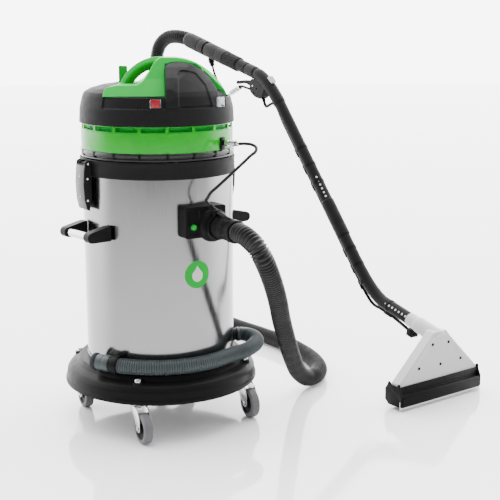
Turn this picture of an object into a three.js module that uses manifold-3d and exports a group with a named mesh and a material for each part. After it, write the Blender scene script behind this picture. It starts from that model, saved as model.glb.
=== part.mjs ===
// Spot extractor: a wheeled drum machine that sprays cleaning solution through a hand wand and sucks
// it back up.
// Millimetres, +Z up. The model is laid out around the drum's own axis, with the floor at z = 0, and
// the finished group is then moved so that its origin lies under the middle of the machine and wand.

import * as THREE from 'three';
import { mergeVertices } from 'three/addons/utils/BufferGeometryUtils.js';
import Module from 'manifold-3d';

const wasm = await Module();
wasm.setup();

// ---------- driving dimensions ----------
const GAP = 0.3; // running or seating gap between neighbours
const ROUND = 30; // facets round the large turned parts

const DRUM_R = 200;
const DRUM_WALL = 2;
const DRUM_CLEAR = DRUM_R / Math.cos(Math.PI / ROUND) + GAP; // clear of the drum's facets at any angle
const SEAT_Z = 166; // top of the trolley dish, where the drum stands
const DRUM_TOP = 711;
const BAND_R = 205;
const BAND_Z = 668;

const DISH_R = 262;
const DISH_RIM_Z = 99;

const CASTER_ANGLES = [-105, -15, 75, 165];
const CASTER_CIRCLE_R = 234;
const CASTER_TRAIL = 35;
const TRAIL_HEADING = -68; // all four casters are turned the same way
const WHEEL_R = 40;
const WHEEL_WIDTH = 25;
const WHEEL_SIDES = 18;
const AXLE_R = 4;

const HEAD_PLATE_Z = 713;
const RING_Z = 733.3;
const RING_TOP = 783;
const VENT_TOP = 799.7;
const HEAD_Z = 800;
const HEAD_R = 207.5;
const COVER_Z = 872; // lower edge of the green cover

const ARCH = { x: 40, z: 813, r: 153 }; // hood profile seen from the side
const GRIP = { x: 12, z: 851, r: 115, thick: 22, half: 14 }; // carrying handle arc
const HOOD_START_X = 22;
const BAND_HALF = 78;

const INLET_ANGLE = -63.7;
const INLET_SIDE = 35; // the socket's axis passes this far beside the drum's
const INLET_Z = 553;
const CUFF_END_X = 356;
const OUTLET_ANGLE = 9;
const OUTLET_Z = 197;
const LATCH_ANGLES = { left: 208, right: 28 };
const HANDLE_ANGLES = { left: 215, right: 35 };
const HANDLE_Z = 510; // underside of the side handles
const COUPLER_ANGLE = -35;
const COUPLER_Z = 752;

const HOSE_R = 25;
const DRAIN_R = 20.5;
const LEAD_R = 4;
const DRAIN_RUN_R = 223; // the drain hose lies round the drum at this radius
const CLIP_ANGLE = -121;

const WAND_FOOT = [798, -22]; // floor point under the tool's lip
const WAND_HEADING = 121.5; // from the tool towards the hose, degrees about +Z
const TUBE_R = 17;
const TOOL_HALF_WIDTH = 161;
// corners of the tube's centre line in the wand's own upright plane: [distance from the lip, height]
const WAND_CORNERS = [[100, 200], [300.5, 251], [824, 878], [1292, 1001.5]];

// ---------- materials ----------
function finish(color, roughness, metalness = 0) {
  return new THREE.MeshStandardMaterial({ color, roughness, metalness });
}

const blackPlastic = finish(0x2a2a2c, 0.5);
const greyBlackPlastic = finish(0x3c3c3e, 0.45);
const greenPlastic = finish(0x00b950, 0.35);
const greenTank = finish(0x18c03a, 0.15);
const clearPlastic = finish(0xc8d2d4, 0.15);
const stainless = finish(0xb8b8ba, 0.22, 1);
const brightSteel = finish(0xd8d8da, 0.15, 1);
const greyRubber = finish(0x8d8d8f, 0.7);
const hoseBlack = finish(0x1e1e20, 0.6);
const drainGrey = finish(0x5f6a6b, 0.6);
const redPlastic = finish(0xa83240, 0.3);
const toolWhite = finish(0xd2d2d0, 0.45);
const motorGrey = finish(0x6d7276, 0.5, 0.6);
const brass = finish(0xc8b070, 0.3, 1);

// ---------- solid helpers ----------
const radians = THREE.MathUtils.degToRad;

// merges a closed geometry's vertices, drops slivers and turns its faces outwards
function closed(geometry) {
  const bare = new THREE.BufferGeometry();
  bare.setAttribute('position', geometry.getAttribute('position').clone());
  if (geometry.index) bare.setIndex(geometry.index.clone());
  const merged = mergeVertices(bare, 1e-3);
  const position = merged.getAttribute('position');
  const corners = [];
  let volume = 0;
  const a = new THREE.Vector3();
  const b = new THREE.Vector3();
  const c = new THREE.Vector3();
  for (let i = 0; i < merged.index.count; i += 3) {
    const [p, q, r] = [0, 1, 2].map((k) => merged.index.getX(i + k));
    if (p === q || q === r || r === p) continue;
    corners.push(p, q, r);
    a.fromBufferAttribute(position, p);
    b.fromBufferAttribute(position, q);
    c.fromBufferAttribute(position, r);
    volume += a.dot(b.cross(c));
  }
  if (volume < 0) corners.reverse();
  merged.setIndex(corners);
  return merged;
}

function solid(geometry) {
  const shape = closed(geometry);
  return new wasm.Manifold(new wasm.Mesh({
    numProp: 3,
    vertProperties: new Float32Array(shape.getAttribute('position').array),
    triVerts: new Uint32Array(shape.index.array),
  }));
}

function shell(manifold) {
  const mesh = manifold.getMesh();
  const geometry = new THREE.BufferGeometry();
  geometry.setAttribute('position', new THREE.BufferAttribute(new Float32Array(mesh.vertProperties), 3));
  geometry.setIndex(new THREE.BufferAttribute(new Uint32Array(mesh.triVerts), 1));
  return geometry;
}

const join = (first, ...rest) => rest.reduce((sum, piece) => sum.add(piece), first);
const cut = (first, ...rest) => rest.reduce((left, piece) => left.subtract(piece), first);
const common = (first, ...rest) => rest.reduce((left, piece) => left.intersect(piece), first);

// ---------- shape helpers ----------
function box([x0, y0, z0], [x1, y1, z1]) {
  const geometry = new THREE.BoxGeometry(x1 - x0, y1 - y0, z1 - z0);
  return solid(geometry.translate((x0 + x1) / 2, (y0 + y1) / 2, (z0 + z1) / 2));
}

// turned about Z from [radius, height] points that start and end on the axis
function turned(profile, sides = ROUND) {
  const points = profile.map(([r, z]) => new THREE.Vector2(r, z));
  return solid(new THREE.LatheGeometry(points, sides).rotateX(Math.PI / 2));
}

// turned about Z from a loop of [radius, height] points that stays off the axis
function turnedRing(loop, sides = ROUND) {
  return turned([...loop, loop[0]], sides);
}

function cylinder(radius, [x0, y0, z0], [x1, y1, z1], sides = 14, endRadius = radius) {
  const start = new THREE.Vector3(x0, y0, z0);
  const end = new THREE.Vector3(x1, y1, z1);
  const along = end.clone().sub(start);
  const geometry = new THREE.CylinderGeometry(endRadius, radius, along.length(), sides);
  const up = new THREE.Vector3(0, 1, 0);
  geometry.applyQuaternion(new THREE.Quaternion().setFromUnitVectors(up, along.clone().normalize()));
  geometry.translate(...start.add(end).multiplyScalar(0.5).toArray());
  return solid(geometry);
}

// a ring or sleeve along X from a loop of [x, radius] points
function sleeveAlongX(loop, sides = 18) {
  const points = [...loop, loop[0]].map(([x, r]) => new THREE.Vector2(r, x));
  return solid(new THREE.LatheGeometry(points, sides).rotateZ(-Math.PI / 2));
}

// an outline of [x, z] points, pushed along Y from y0 to y1
function plate(outline, y0, y1) {
  const shape = new THREE.Shape(outline.map(([x, z]) => new THREE.Vector2(x, z)));
  const geometry = new THREE.ExtrudeGeometry(shape, { depth: y1 - y0, bevelEnabled: false });
  geometry.rotateX(Math.PI / 2);
  return solid(geometry.translate(0, y1, 0));
}

// an outline of [y, z] points, pushed along X from x0 to x1
function slab(outline, x0, x1) {
  const shape = new THREE.Shape(outline.map(([y, z]) => new THREE.Vector2(y, z)));
  const geometry = new THREE.ExtrudeGeometry(shape, { depth: x1 - x0, bevelEnabled: false });
  geometry.rotateZ(Math.PI / 2).rotateY(Math.PI / 2);
  return solid(geometry.translate(x0, 0, 0));
}

// points on a circular arc in a plane, degrees counted from the first axis to the second
function arc(cx, cz, r, from, to, steps) {
  return Array.from({ length: steps + 1 }, (_, i) => {
    const angle = radians(from + ((to - from) * i) / steps);
    return [cx + r * Math.cos(angle), cz + r * Math.sin(angle)];
  });
}

function spin(manifold, degrees) {
  return solid(shell(manifold).rotateZ(radians(degrees)));
}

// a round section pushed along a smooth route
function tube(route, radius, sides, steps) {
  const section = new THREE.Shape(arc(0, 0, radius, 0, 360 - 360 / sides, sides - 1)
    .map(([x, y]) => new THREE.Vector2(x, y)));
  return new THREE.ExtrudeGeometry(section, { steps, extrudePath: smooth(route), bevelEnabled: false });
}

function smooth(route) {
  return new THREE.CatmullRomCurve3(route.map((p) => new THREE.Vector3(...p)), false, 'centripetal');
}

// ---------- assembly helpers ----------
const machine = new THREE.Group();

function frameAt(x, y, degrees) {
  const group = new THREE.Group();
  group.position.set(x, y, 0);
  group.rotation.z = radians(degrees);
  machine.add(group);
  return group;
}

function add(name, shape, material, group = machine) {
  const geometry = shape.isBufferGeometry ? closed(shape) : shell(shape);
  const mesh = new THREE.Mesh(geometry, material);
  mesh.name = name;
  group.add(mesh);
}

const polar = (r, degrees, z = 0) => [r * Math.cos(radians(degrees)), r * Math.sin(radians(degrees)), z];

// ---------- trolley ----------
function baseDish() {
  const dish = turned([
    [0, SEAT_Z], [222, SEAT_Z], [229, 151], [249, 141], [257, 133], [258, 112], [DISH_R, 107],
    [DISH_R, DISH_RIM_Z], [255, DISH_RIM_Z], [251, 110], [251, 131], [224, 145], [216, SEAT_Z - 7],
    [0, SEAT_Z - 7],
  ]);
  const bosses = CASTER_ANGLES.map((angle) => {
    const [x, y] = polar(CASTER_CIRCLE_R, angle);
    return cylinder(16, [x, y, 106.3], [x, y, 144], 10);
  });
  const nutSeats = CASTER_ANGLES.map((angle) => {
    const [x, y] = polar(CASTER_CIRCLE_R, angle);
    return cylinder(11.5, [x, y, 138], [x, y, 152], 10);
  });
  const bolts = CASTER_ANGLES.map((angle) => {
    const [x, y] = polar(CASTER_CIRCLE_R, angle);
    return join(cylinder(6.6 + GAP, [x, y, 90], [x, y, 180], 8), cylinder(11, [x, y, 152], [x, y, 180], 10));
  });
  return cut(join(dish, ...bosses, ...nutSeats), ...bolts);
}

// top plate, kingpin with its rivet head below, and the bolt with its dome nut above
function casterStem() {
  return turned([
    [0, 84], [8.5, 84], [8.5, 87.4], [5, 87.4], [5, 101.5], [16, 101.5], [16, 106],
    [6, 106], [6, 152.3], [9.5, 152.3], [9.5, 157], [0, 163],
  ], 8);
}

function casterFork() {
  const sideGap = WHEEL_WIDTH / 2 + 1.5;
  const sideThick = 2.5;
  const axleZ = wheelAxleZ();
  const outline = [
    [-15, 92], [-15, 80], [-4, 66],
    ...arc(CASTER_TRAIL, axleZ, 9, 200, 380, 3),
    [26, 74], [16, 92],
  ];
  const sides = [-1, 1].map((side) => {
    const edges = [side * sideGap, side * (sideGap + sideThick)].sort((p, q) => p - q);
    return plate(outline, ...edges);
  });
  const bridge = box([-15, -sideGap - sideThick, 88], [16, sideGap + sideThick, 92]);
  const race = cylinder(16, [0, 0, 91], [0, 0, 101.5 - GAP], 10);
  const bolt = sideGap + sideThick + 4;
  const axle = cylinder(AXLE_R, [CASTER_TRAIL, -bolt, axleZ], [CASTER_TRAIL, bolt, axleZ], 8);
  const pinHole = cylinder(5.6 + GAP, [0, 0, 80], [0, 0, 110], 8);
  return cut(join(bridge, race, axle, ...sides), pinHole);
}

// the wheel rests on a flat of its faceted tread
function wheelAxleZ() {
  return WHEEL_R * Math.cos(Math.PI / WHEEL_SIDES);
}

function casterWheel() {
  const half = WHEEL_WIDTH / 2;
  const bore = AXLE_R + 0.4;
  const loop = [
    [-half + 0.5, bore], [-half + 0.5, 13], [-half + 4.5, 27], [-half, 31], [-half + 3, WHEEL_R],
    [half - 3, WHEEL_R], [half, 31], [half - 4.5, 27], [half - 0.5, 13], [half - 0.5, bore],
  ];
  const wheel = shell(sleeveAlongX(loop, WHEEL_SIDES));
  wheel.rotateX(Math.PI / WHEEL_SIDES);
  wheel.rotateZ(Math.PI / 2);
  return wheel.translate(CASTER_TRAIL, 0, wheelAxleZ());
}

add('base_dish', baseDish(), blackPlastic);
CASTER_ANGLES.forEach((angle, i) => {
  const [x, y] = polar(CASTER_CIRCLE_R, angle);
  const caster = frameAt(x, y, TRAIL_HEADING);
  add(`caster_${i + 1}_stem`, casterStem(), brightSteel, caster);
  add(`caster_${i + 1}_fork`, casterFork(), brightSteel, caster);
  add(`caster_${i + 1}_wheel`, casterWheel(), greyRubber, caster);
});

// ---------- drum ----------
function drum() {
  const foot = SEAT_Z + GAP;
  const inner = DRUM_R - DRUM_WALL;
  const vessel = turned([
    [0, foot], [DRUM_R - 3, foot], [DRUM_R, foot + 3], [DRUM_R, DRUM_TOP], [inner, DRUM_TOP],
    [inner, foot + 5], [inner - 3, foot + 2.5], [0, foot + 2.5],
  ]);
  const inlet = spin(cylinder(26, [150, INLET_SIDE, INLET_Z], [250, INLET_SIDE, INLET_Z], 18), INLET_ANGLE);
  const outlet = spin(cylinder(17, [150, 0, OUTLET_Z], [250, 0, OUTLET_Z], 14), OUTLET_ANGLE);
  return cut(vessel, inlet, outlet);
}

// dark band round the drum's mouth, with the two brackets that carry the latches
const LATCH_PIVOT = { x: 214, z: 702 };
const LATCH_HALF = 27;
const LATCH_SHEET = 3.5;
const EAR = { inner: 14, outer: 20 };

function drumBand() {
  const band = turnedRing([
    [DRUM_R + GAP, BAND_Z], [BAND_R, BAND_Z], [BAND_R, DRUM_TOP], [DRUM_R + GAP, DRUM_TOP],
  ]);
  const ear = [
    [DRUM_R, 692], ...arc(LATCH_PIVOT.x, LATCH_PIVOT.z, 6.5, -75, 75, 3), [DRUM_R, 709],
  ];
  const bracket = join(
    plate(ear, -EAR.outer, -EAR.inner),
    plate(ear, EAR.inner, EAR.outer),
    cylinder(3, [LATCH_PIVOT.x, -LATCH_HALF, LATCH_PIVOT.z], [LATCH_PIVOT.x, LATCH_HALF, LATCH_PIVOT.z], 8),
  );
  return join(band, ...Object.values(LATCH_ANGLES).map((angle) => spin(bracket, angle)));
}

// an over-centre latch: a curved strap with two side cheeks, hung from its pin
function latch() {
  const { x, z } = LATCH_PIVOT;
  const crown = arc(x, z, 8.5, 180, 20, 5);
  const outline = [
    [206.5, 616], ...crown, [225, 682], [227, 650], [225, 610], [219, 584], [213, 580],
  ];
  const hollow = [
    [190, 570], [190, 730], [x - 12, 730], ...arc(x, z, 9.2, 90, 20, 3), [225 - LATCH_SHEET, 682],
    [227 - LATCH_SHEET, 650], [225 - LATCH_SHEET, 610], [215, 570],
  ];
  const cheek = LATCH_HALF - LATCH_SHEET;
  const body = cut(plate(outline, -LATCH_HALF, LATCH_HALF), plate(hollow, -cheek, cheek));
  return cut(body, cylinder(3.7, [x, -50, z], [x, 50, z], 8));
}

add('drum', drum(), stainless);
add('drum_band', drumBand(), greyBlackPlastic);
for (const [side, angle] of Object.entries(LATCH_ANGLES)) {
  add(`latch_${side}`, latch(), greyBlackPlastic, frameAt(0, 0, angle));
}

// ---------- side handles ----------
const ARM_INNER = 44;
const ARM_OUTER = 70;
const ARM_HIGH = 38;
const ARM_TIP_R = 13.5;
const BAR_R = 10;
const BAR_AT = { x: 250, z: HANDLE_Z + ARM_TIP_R };

function handleArm(side) {
  const outline = [
    [170, HANDLE_Z], ...arc(BAR_AT.x + 1, BAR_AT.z, ARM_TIP_R, -90, 70, 5),
    [204, HANDLE_Z + ARM_HIGH], [170, HANDLE_Z + ARM_HIGH],
  ];
  const edges = [side * ARM_INNER, side * ARM_OUTER].sort((p, q) => p - q);
  const pocketEnd = side * (ARM_INNER + 10);
  const drumSpace = turned([[0, 400], [DRUM_CLEAR, 400], [DRUM_CLEAR, 700], [0, 700]]);
  return cut(
    plate(outline, ...edges),
    drumSpace,
    cylinder(BAR_R + 2 * GAP, [BAR_AT.x, 0, BAR_AT.z], [BAR_AT.x, pocketEnd, BAR_AT.z], 12),
  );
}

for (const [side, angle] of Object.entries(HANDLE_ANGLES)) {
  const place = frameAt(0, 0, angle);
  const reach = ARM_INNER + 10 - GAP;
  add(`handle_${side}_arm_a`, handleArm(1), blackPlastic, place);
  add(`handle_${side}_arm_b`, handleArm(-1), blackPlastic, place);
  add(`handle_${side}_bar`, cylinder(BAR_R, [BAR_AT.x, -reach, BAR_AT.z], [BAR_AT.x, reach, BAR_AT.z], 12),
    brightSteel, place);
}

// ---------- suction inlet ----------
const INLET_FACE_X = 238;
const SOCKET_END_X = 272;
const BUTTON = { y: -57, z: INLET_Z - 1, r: 7 };
const PORT_FOOT = [262, -8, INLET_Z + 37]; // where the solution line joins the inlet
const PORT_END = [255, -19, INLET_Z + 54];

function inletFlange() {
  const face = [
    [-79, 529], [-73, 523], [31, 523], [37, 529], [37, 597], [31, 603], [-73, 603], [-79, 597],
  ];
  const drumSpace = turned([[0, 400], [DRUM_CLEAR, 400], [DRUM_CLEAR, 700], [0, 700]])
    .translate([0, -INLET_SIDE, 0]);
  const block = cut(slab(face, 150, INLET_FACE_X), drumSpace);
  const socket = cylinder(35, [INLET_FACE_X - 4, 0, INLET_Z], [SOCKET_END_X, 0, INLET_Z], 18, 30.5);
  const port = join(
    box([252, -16, INLET_Z + 24], [272, 2, INLET_Z + 42]),
    cylinder(6.5, PORT_FOOT, PORT_END, 10),
  );
  const bore = cylinder(23.4, [150, 0, INLET_Z], [300, 0, INLET_Z], 18);
  const buttonHole = cylinder(BUTTON.r + 2 * GAP, [226, BUTTON.y, BUTTON.z], [250, BUTTON.y, BUTTON.z], 12);
  return cut(join(block, socket, port), bore, buttonHole);
}

// the hose cuff turns freely in the socket
function inletCuff() {
  return sleeveAlongX([
    [248, 19], [CUFF_END_X, 19], [CUFF_END_X, 29], [CUFF_END_X - 22, 29],
    [CUFF_END_X - 24, 27.5], [SOCKET_END_X + 10, 26], [SOCKET_END_X + 8, 28.5],
    [SOCKET_END_X + GAP, 28.5], [SOCKET_END_X + GAP, 22.5], [248, 22.5],
  ], 16);
}

const [inletX, inletY] = polar(INLET_SIDE, INLET_ANGLE + 90);
const inletPlace = frameAt(inletX, inletY, INLET_ANGLE);
add('inlet_flange', inletFlange(), blackPlastic, inletPlace);
add('release_button',
  cylinder(BUTTON.r, [230, BUTTON.y, BUTTON.z], [244, BUTTON.y, BUTTON.z], 12), greenPlastic, inletPlace);
const cuff = shell(inletCuff()).translate(0, 0, INLET_Z);
add('inlet_cuff', cuff, blackPlastic, inletPlace);

// ---------- drain ----------
add('drain_outlet', (() => {
  const drumSpace = turned([[0, 100], [DRUM_CLEAR, 100], [DRUM_CLEAR, 300], [0, 300]]);
  const collar = cylinder(19, [190, 0, OUTLET_Z], [205, 0, OUTLET_Z], 14);
  const spout = cylinder(16.5, [196, 0, OUTLET_Z], [214, 0, OUTLET_Z], 14);
  return cut(join(cut(collar, drumSpace), spout), cylinder(13, [150, 0, OUTLET_Z], [250, 0, OUTLET_Z], 12));
})(), blackPlastic, frameAt(0, 0, OUTLET_ANGLE));

const DRAIN_Z = 188;
const CAP_ANGLE = CLIP_ANGLE - 2.5;

// the hose's last stretch runs straight into its cap
function beforeCap(reach) {
  const [x, y] = polar(DRAIN_RUN_R, CAP_ANGLE);
  const heading = radians(CAP_ANGLE);
  return [x - reach * Math.sin(heading), y + reach * Math.cos(heading), DRAIN_Z];
}

const drainRoute = [
  polar(214 + 2 * GAP, OUTLET_ANGLE, OUTLET_Z),
  polar(226, OUTLET_ANGLE, OUTLET_Z),
  [243, 30, 195.5],
  [258, 12, 194],
  [264, -14, 192.5],
  [259, -41, 191],
  [246, -68, 190],
  [229, -92, 189],
  polar(232, -30, 188.5),
  ...[-40, -50, -60, -70, -80, -90, -100, -110].map((angle) => polar(DRAIN_RUN_R, angle, DRAIN_Z)),
  beforeCap(20),
  beforeCap(GAP),
];
add('drain_hose', tube(drainRoute, DRAIN_R, 8, 26), drainGrey);

// clip that holds the hose's free end down on the dish
function hoseClip() {
  const inner = DRAIN_R + 1.5;
  const ring = sleeveAlongX([[-9, inner], [9, inner], [9, inner + 3], [-9, inner + 3]], 16);
  const clip = solid(shell(ring).translate(0, 0, DRAIN_Z));
  const foot = box([-9, -14, SEAT_Z + GAP], [9, -3, DRAIN_Z - DRAIN_R + 1]);
  const dishSpace = box([-50, -50, 100], [50, 50, SEAT_Z + GAP]);
  const drumSpace = solid(shell(turned([[0, 100], [DRUM_CLEAR, 100], [DRUM_CLEAR, 300], [0, 300]]))
    .translate(0, -DRAIN_RUN_R, 0));
  const hoseSpace = cylinder(inner, [-20, 0, DRAIN_Z], [20, 0, DRAIN_Z], 16);
  return cut(join(clip, foot), dishSpace, drumSpace, hoseSpace);
}

// stopper pushed on the hose's end: a collar, a light body and a gripping ring
function drainCap() {
  const cap = sleeveAlongX([
    [GAP, 0], [GAP, 20.5], [8, 20.5], [9, 21.5], [46, 21.5], [47, 20.5], [50, 20.5], [51, 22], [61, 22],
    [63, 20], [63, 8], [56, 0],
  ], 12);
  return shell(cap).translate(0, 0, DRAIN_Z);
}

// frames whose X runs along the hose, away from its clipped end
function alongRun(angle) {
  const [x, y] = polar(DRAIN_RUN_R, angle);
  return frameAt(x, y, angle - 90);
}

add('hose_clip', hoseClip(), blackPlastic, alongRun(CLIP_ANGLE));
add('drain_cap', drainCap(), drainGrey, alongRun(CAP_ANGLE));

// ---------- head: plate, solution tank ring, motor, float ----------
const FLOAT = { x: -70, r: 19, cageR: 26, cageFoot: 628, travel: 30 };

function headPlate() {
  const plateBody = turned([
    [0, HEAD_PLATE_Z], [203, HEAD_PLATE_Z], [203, RING_Z - 2],
    [201.5, RING_Z - GAP], [194, RING_Z - GAP], [194, HEAD_PLATE_Z + 5], [0, HEAD_PLATE_Z + 5],
  ]);
  const intake = cylinder(22, [FLOAT.x, 0, 690], [FLOAT.x, 0, 740], 14);
  return cut(plateBody, intake);
}

// ring-shaped clear tank, open at the top, with the slotted ring above it where cooling air leaves
const VENT_RIBS = 18;
const VENT_FIRST = -83;

function tankRing() {
  const tank = turnedRing([
    [152, RING_Z], [200.7, RING_Z], [200.7, RING_TOP], [199, RING_TOP + 1], [199, VENT_TOP], [190, VENT_TOP],
    [196.7, RING_TOP - 4], [196.7, RING_Z + 4], [156, RING_Z + 4], [156, RING_TOP], [152, RING_TOP],
  ]);
  const step = 360 / VENT_RIBS;
  const width = 2 * 195 * Math.tan(radians(step / 2)) - 8;
  const windows = Array.from({ length: VENT_RIBS / 2 }, (_, i) => {
    const slot = box([150, -width / 2, RING_TOP + 3], [230, width / 2, VENT_TOP - 3]);
    return spin(slot, VENT_FIRST + step * (2 * i + 0.5));
  });
  return cut(tank, ...windows);
}

function motor() {
  return turned([
    [0, 752], [78, 752], [80, 756], [80, 800], [66, 806], [66, 844], [58, 852], [0, 856],
  ], 14);
}

function fan() {
  return turned([
    [0, 735], [18, 735], [18, 731], [72, 731], [72, 745], [18, 748], [18, 751.5], [0, 751.5],
  ], 14);
}

// open basket under the intake that guides the float
function floatCage() {
  const { cageR, cageFoot } = FLOAT;
  const basket = turnedRing([
    [12, cageFoot], [cageR, cageFoot], [cageR, HEAD_PLATE_Z - GAP], [cageR - 3, HEAD_PLATE_Z - GAP],
    [cageR - 3, cageFoot + 3], [12, cageFoot + 3],
  ], 12);
  const slots = [0, 90].map((angle) => spin(box([-40, -9, cageFoot + 12], [40, 9, 700]), angle));
  return shell(cut(basket, ...slots)).translate(FLOAT.x, 0, 0);
}

function floatBall() {
  const lift = FLOAT.cageFoot + 3 + Math.sqrt(FLOAT.r ** 2 - 12 ** 2);
  return closed(new THREE.SphereGeometry(FLOAT.r - 0.5, 12, 8)).translate(FLOAT.x, 0, lift);
}

add('head_plate', headPlate(), clearPlastic);
add('tank_ring', tankRing(), greenTank);
add('motor', motor(), motorGrey);
add('fan', fan(), stainless);
add('float_cage', floatCage(), blackPlastic);
add('float_ball', floatBall(), redPlastic);
add('solution_pump', join(
  box([-146, -28, 742], [-96, 28, 778]),
  cylinder(22, [-121, -50, 760], [-121, 48, 760], 14),
), motorGrey);

// ---------- head: housing and green cover ----------
// the hood's cross-section from side to side: a flat crown with sloping flanks, [y, z]
const HOOD_SECTION = [
  [-194, 838], [-150, 876], [-108, 914], [-76, 955], [-60, 975], [60, 975], [76, 955], [108, 914],
  [150, 876], [194, 838],
];
const SKIRT_TOP = 838;
const STRIP = { depth: 4.5, from: -133, to: -84 }; // shallow band under the cover, where the switch sits
const SWITCH = { angle: -91, pivotX: 193, z: 857, half: 12.3, high: 20.6, tilt: 8 };
const FLAP = { angle: -35, inner: 197, outer: 203, foot: 843.5, top: 867.5, half: 20.5 };

// surface of revolution that the whole head stays inside
function headDome(inset = 0) {
  return turned([
    [0, 700], [206 - inset, 700], [206 - inset, SKIRT_TOP], [198 - inset, COVER_Z], [191 - inset, 884],
    [168 - inset, 910], [120, 962 - inset], [60, 990 - inset], [0, 995 - inset],
  ]);
}

function archPrism(radius, fromX) {
  const outline = [[fromX, 700], ...arc(ARCH.x, ARCH.z, radius, -10, 90, 12), [fromX, ARCH.z + radius]];
  return plate(outline, -200, 200);
}

// everything above the green cover's lower edge, in plan: its left edge curves round the black crown
function coverPlan(margin = 0) {
  const right = HOOD_START_X + margin;
  const tip = -139 - margin;
  const waist = -100 - margin;
  const plan = new THREE.Shape([
    [right, -230], [right, 230], [tip, 230], [tip, 150], [waist, 45], [waist, -45], [tip, -150], [tip, -230],
  ].map(([x, y]) => new THREE.Vector2(x, y)));
  const prism = new THREE.ExtrudeGeometry(plan, { depth: 300, bevelEnabled: false });
  return solid(prism.translate(0, 0, COVER_Z - margin));
}

// a sector of a ring about Z, between two angles
function sector(from, to) {
  const far = 500;
  const corner = (angle) => new THREE.Vector2(far * Math.cos(radians(angle)), far * Math.sin(radians(angle)));
  const plan = new THREE.Shape([new THREE.Vector2(0, 0), corner(from), corner(to)]);
  return solid(new THREE.ExtrudeGeometry(plan, { depth: 500, bevelEnabled: false }).translate(0, 0, 600));
}

function headHousing() {
  const body = turned([
    [0, 900], [118, 900], [140, 897], [172, 888], [190, 880], [197, COVER_Z], [205.5, SKIRT_TOP],
    [HEAD_R, HEAD_Z + 3], [HEAD_R, HEAD_Z], [203, HEAD_Z], [201, SKIRT_TOP], [192, 868], [186, 875],
    [168, 883], [138, 892], [118, 895], [0, 895],
  ]);
  const hood = common(
    archPrism(ARCH.r - 4 - GAP, HOOD_START_X + GAP),
    slab(HOOD_SECTION, -220, 220),
    headDome(1),
    box([-300, -300, 860], [300, 300, 1000]),
  );
  const hoodHollow = common(
    archPrism(ARCH.r - 9, HOOD_START_X + 5),
    slab(HOOD_SECTION.map(([y, z]) => [y * 0.95, z - 6]), -220, 220),
    headDome(8),
  );
  const strip = turnedRing([
    [206 - STRIP.depth, 843], [230, 843], [230, COVER_Z - GAP], [199 - STRIP.depth, COVER_Z - GAP],
  ]);
  const strips = [
    common(strip, sector(STRIP.from, STRIP.to)),
    common(strip, sector(-STRIP.to, -STRIP.from)),
  ];
  const switchHigh = SWITCH.high / 2 + GAP;
  const switchHole = spin(
    box([180, -SWITCH.half - 1.6, SWITCH.z - switchHigh], [230, SWITCH.half + 1.6, SWITCH.z + switchHigh]),
    SWITCH.angle,
  );
  const bay = spin(
    box([184, -FLAP.half - GAP, FLAP.foot - GAP], [230, FLAP.half + GAP, FLAP.top + GAP]),
    FLAP.angle,
  );
  const crownSpace = common(
    cut(archPrism(ARCH.r + GAP, 12), archPrism(ARCH.r - 4 - GAP, 0)),
    box([0, -BAND_HALF - GAP, 866 - GAP], [300, BAND_HALF + GAP, 1000]),
  );
  return cut(join(body, hood), hoodHollow, coverPlan(GAP), crownSpace, ...strips, switchHole, bay);
}

// green cover: a side skirt, a column that rises into the hood's crown band, and the carrying handle
function topCover() {
  const side = [
    [-139, COVER_Z], [-139, 881], [-132, 887], [-100, 893], [-46, 893], [-34, 903], [-24, 920], [-14, 940],
    [-4, 954], [12, 966], [HOOD_START_X, 966], [HOOD_START_X, COVER_Z],
  ];
  const block = common(
    plate(side, -200, 200),
    coverPlan(),
    slab(HOOD_SECTION, -220, 220),
    headDome(),
  );
  const well = box([-86, -34, 880], [-40, 34, 960]);
  const pockets = [
    box([-8, -66, 860], [17, 66, 938]),
    box([-38, -95, 860], [-8, 95, 886]),
    box([-95, -110, 860], [-38, -40, 884]),
    box([-95, 40, 860], [-38, 110, 884]),
  ];
  const handle = plate([
    ...arc(GRIP.x, GRIP.z, GRIP.r, 90, 158, 8),
    ...arc(GRIP.x, GRIP.z, GRIP.r - GRIP.thick, 154, 90, 8),
  ], -GRIP.half, GRIP.half);
  const crown = common(
    cut(archPrism(ARCH.r, 12), archPrism(ARCH.r - 4, 0)),
    box([0, -BAND_HALF, 866], [300, BAND_HALF, 1000]),
    slab(HOOD_SECTION, -220, 220),
    headDome(),
  );
  const cableHook = box([-99, 28, 880], [-76, 34, 946]);
  return join(cut(block, well, ...pockets), handle, crown, cableHook);
}

// two-faced rocker that tilts about an upright pin
function rockerSwitch() {
  const { pivotX, half, high, z, tilt } = SWITCH;
  const outline = [[-4, -half], [7, -half], [4.5, 0], [7, half], [-4, half]];
  const shape = new THREE.Shape(outline.map(([x, y]) => new THREE.Vector2(x, y)));
  const rocker = new THREE.ExtrudeGeometry(shape, { depth: high, bevelEnabled: false });
  return rocker.rotateZ(radians(-tilt)).translate(pivotX, 0, z - high / 2);
}

add('head_housing', headHousing(), greyBlackPlastic);
add('top_cover', topCover(), greenPlastic);
add('rocker_switch', rockerSwitch(), redPlastic, frameAt(0, 0, SWITCH.angle));
add('socket_flap',
  box([FLAP.inner, -FLAP.half, FLAP.foot], [FLAP.outer, FLAP.half, FLAP.top]), clearPlastic,
  frameAt(0, 0, FLAP.angle));

// ---------- solution line from the pump to the hose inlet ----------
const NIPPLE_END = 212;
const COUPLER_END = 256;

function ringNipple() {
  const pad = box([190, -9, COUPLER_Z - 18], [205, 9, COUPLER_Z + 14]);
  const ringSpace = turned([[0, 700], [200.7 + GAP, 700], [200.7 + GAP, 800], [0, 800]]);
  const nipple = cylinder(5.5, [202, 0, COUPLER_Z], [NIPPLE_END, 0, COUPLER_Z], 8);
  return join(cut(pad, ringSpace), nipple);
}

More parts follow.
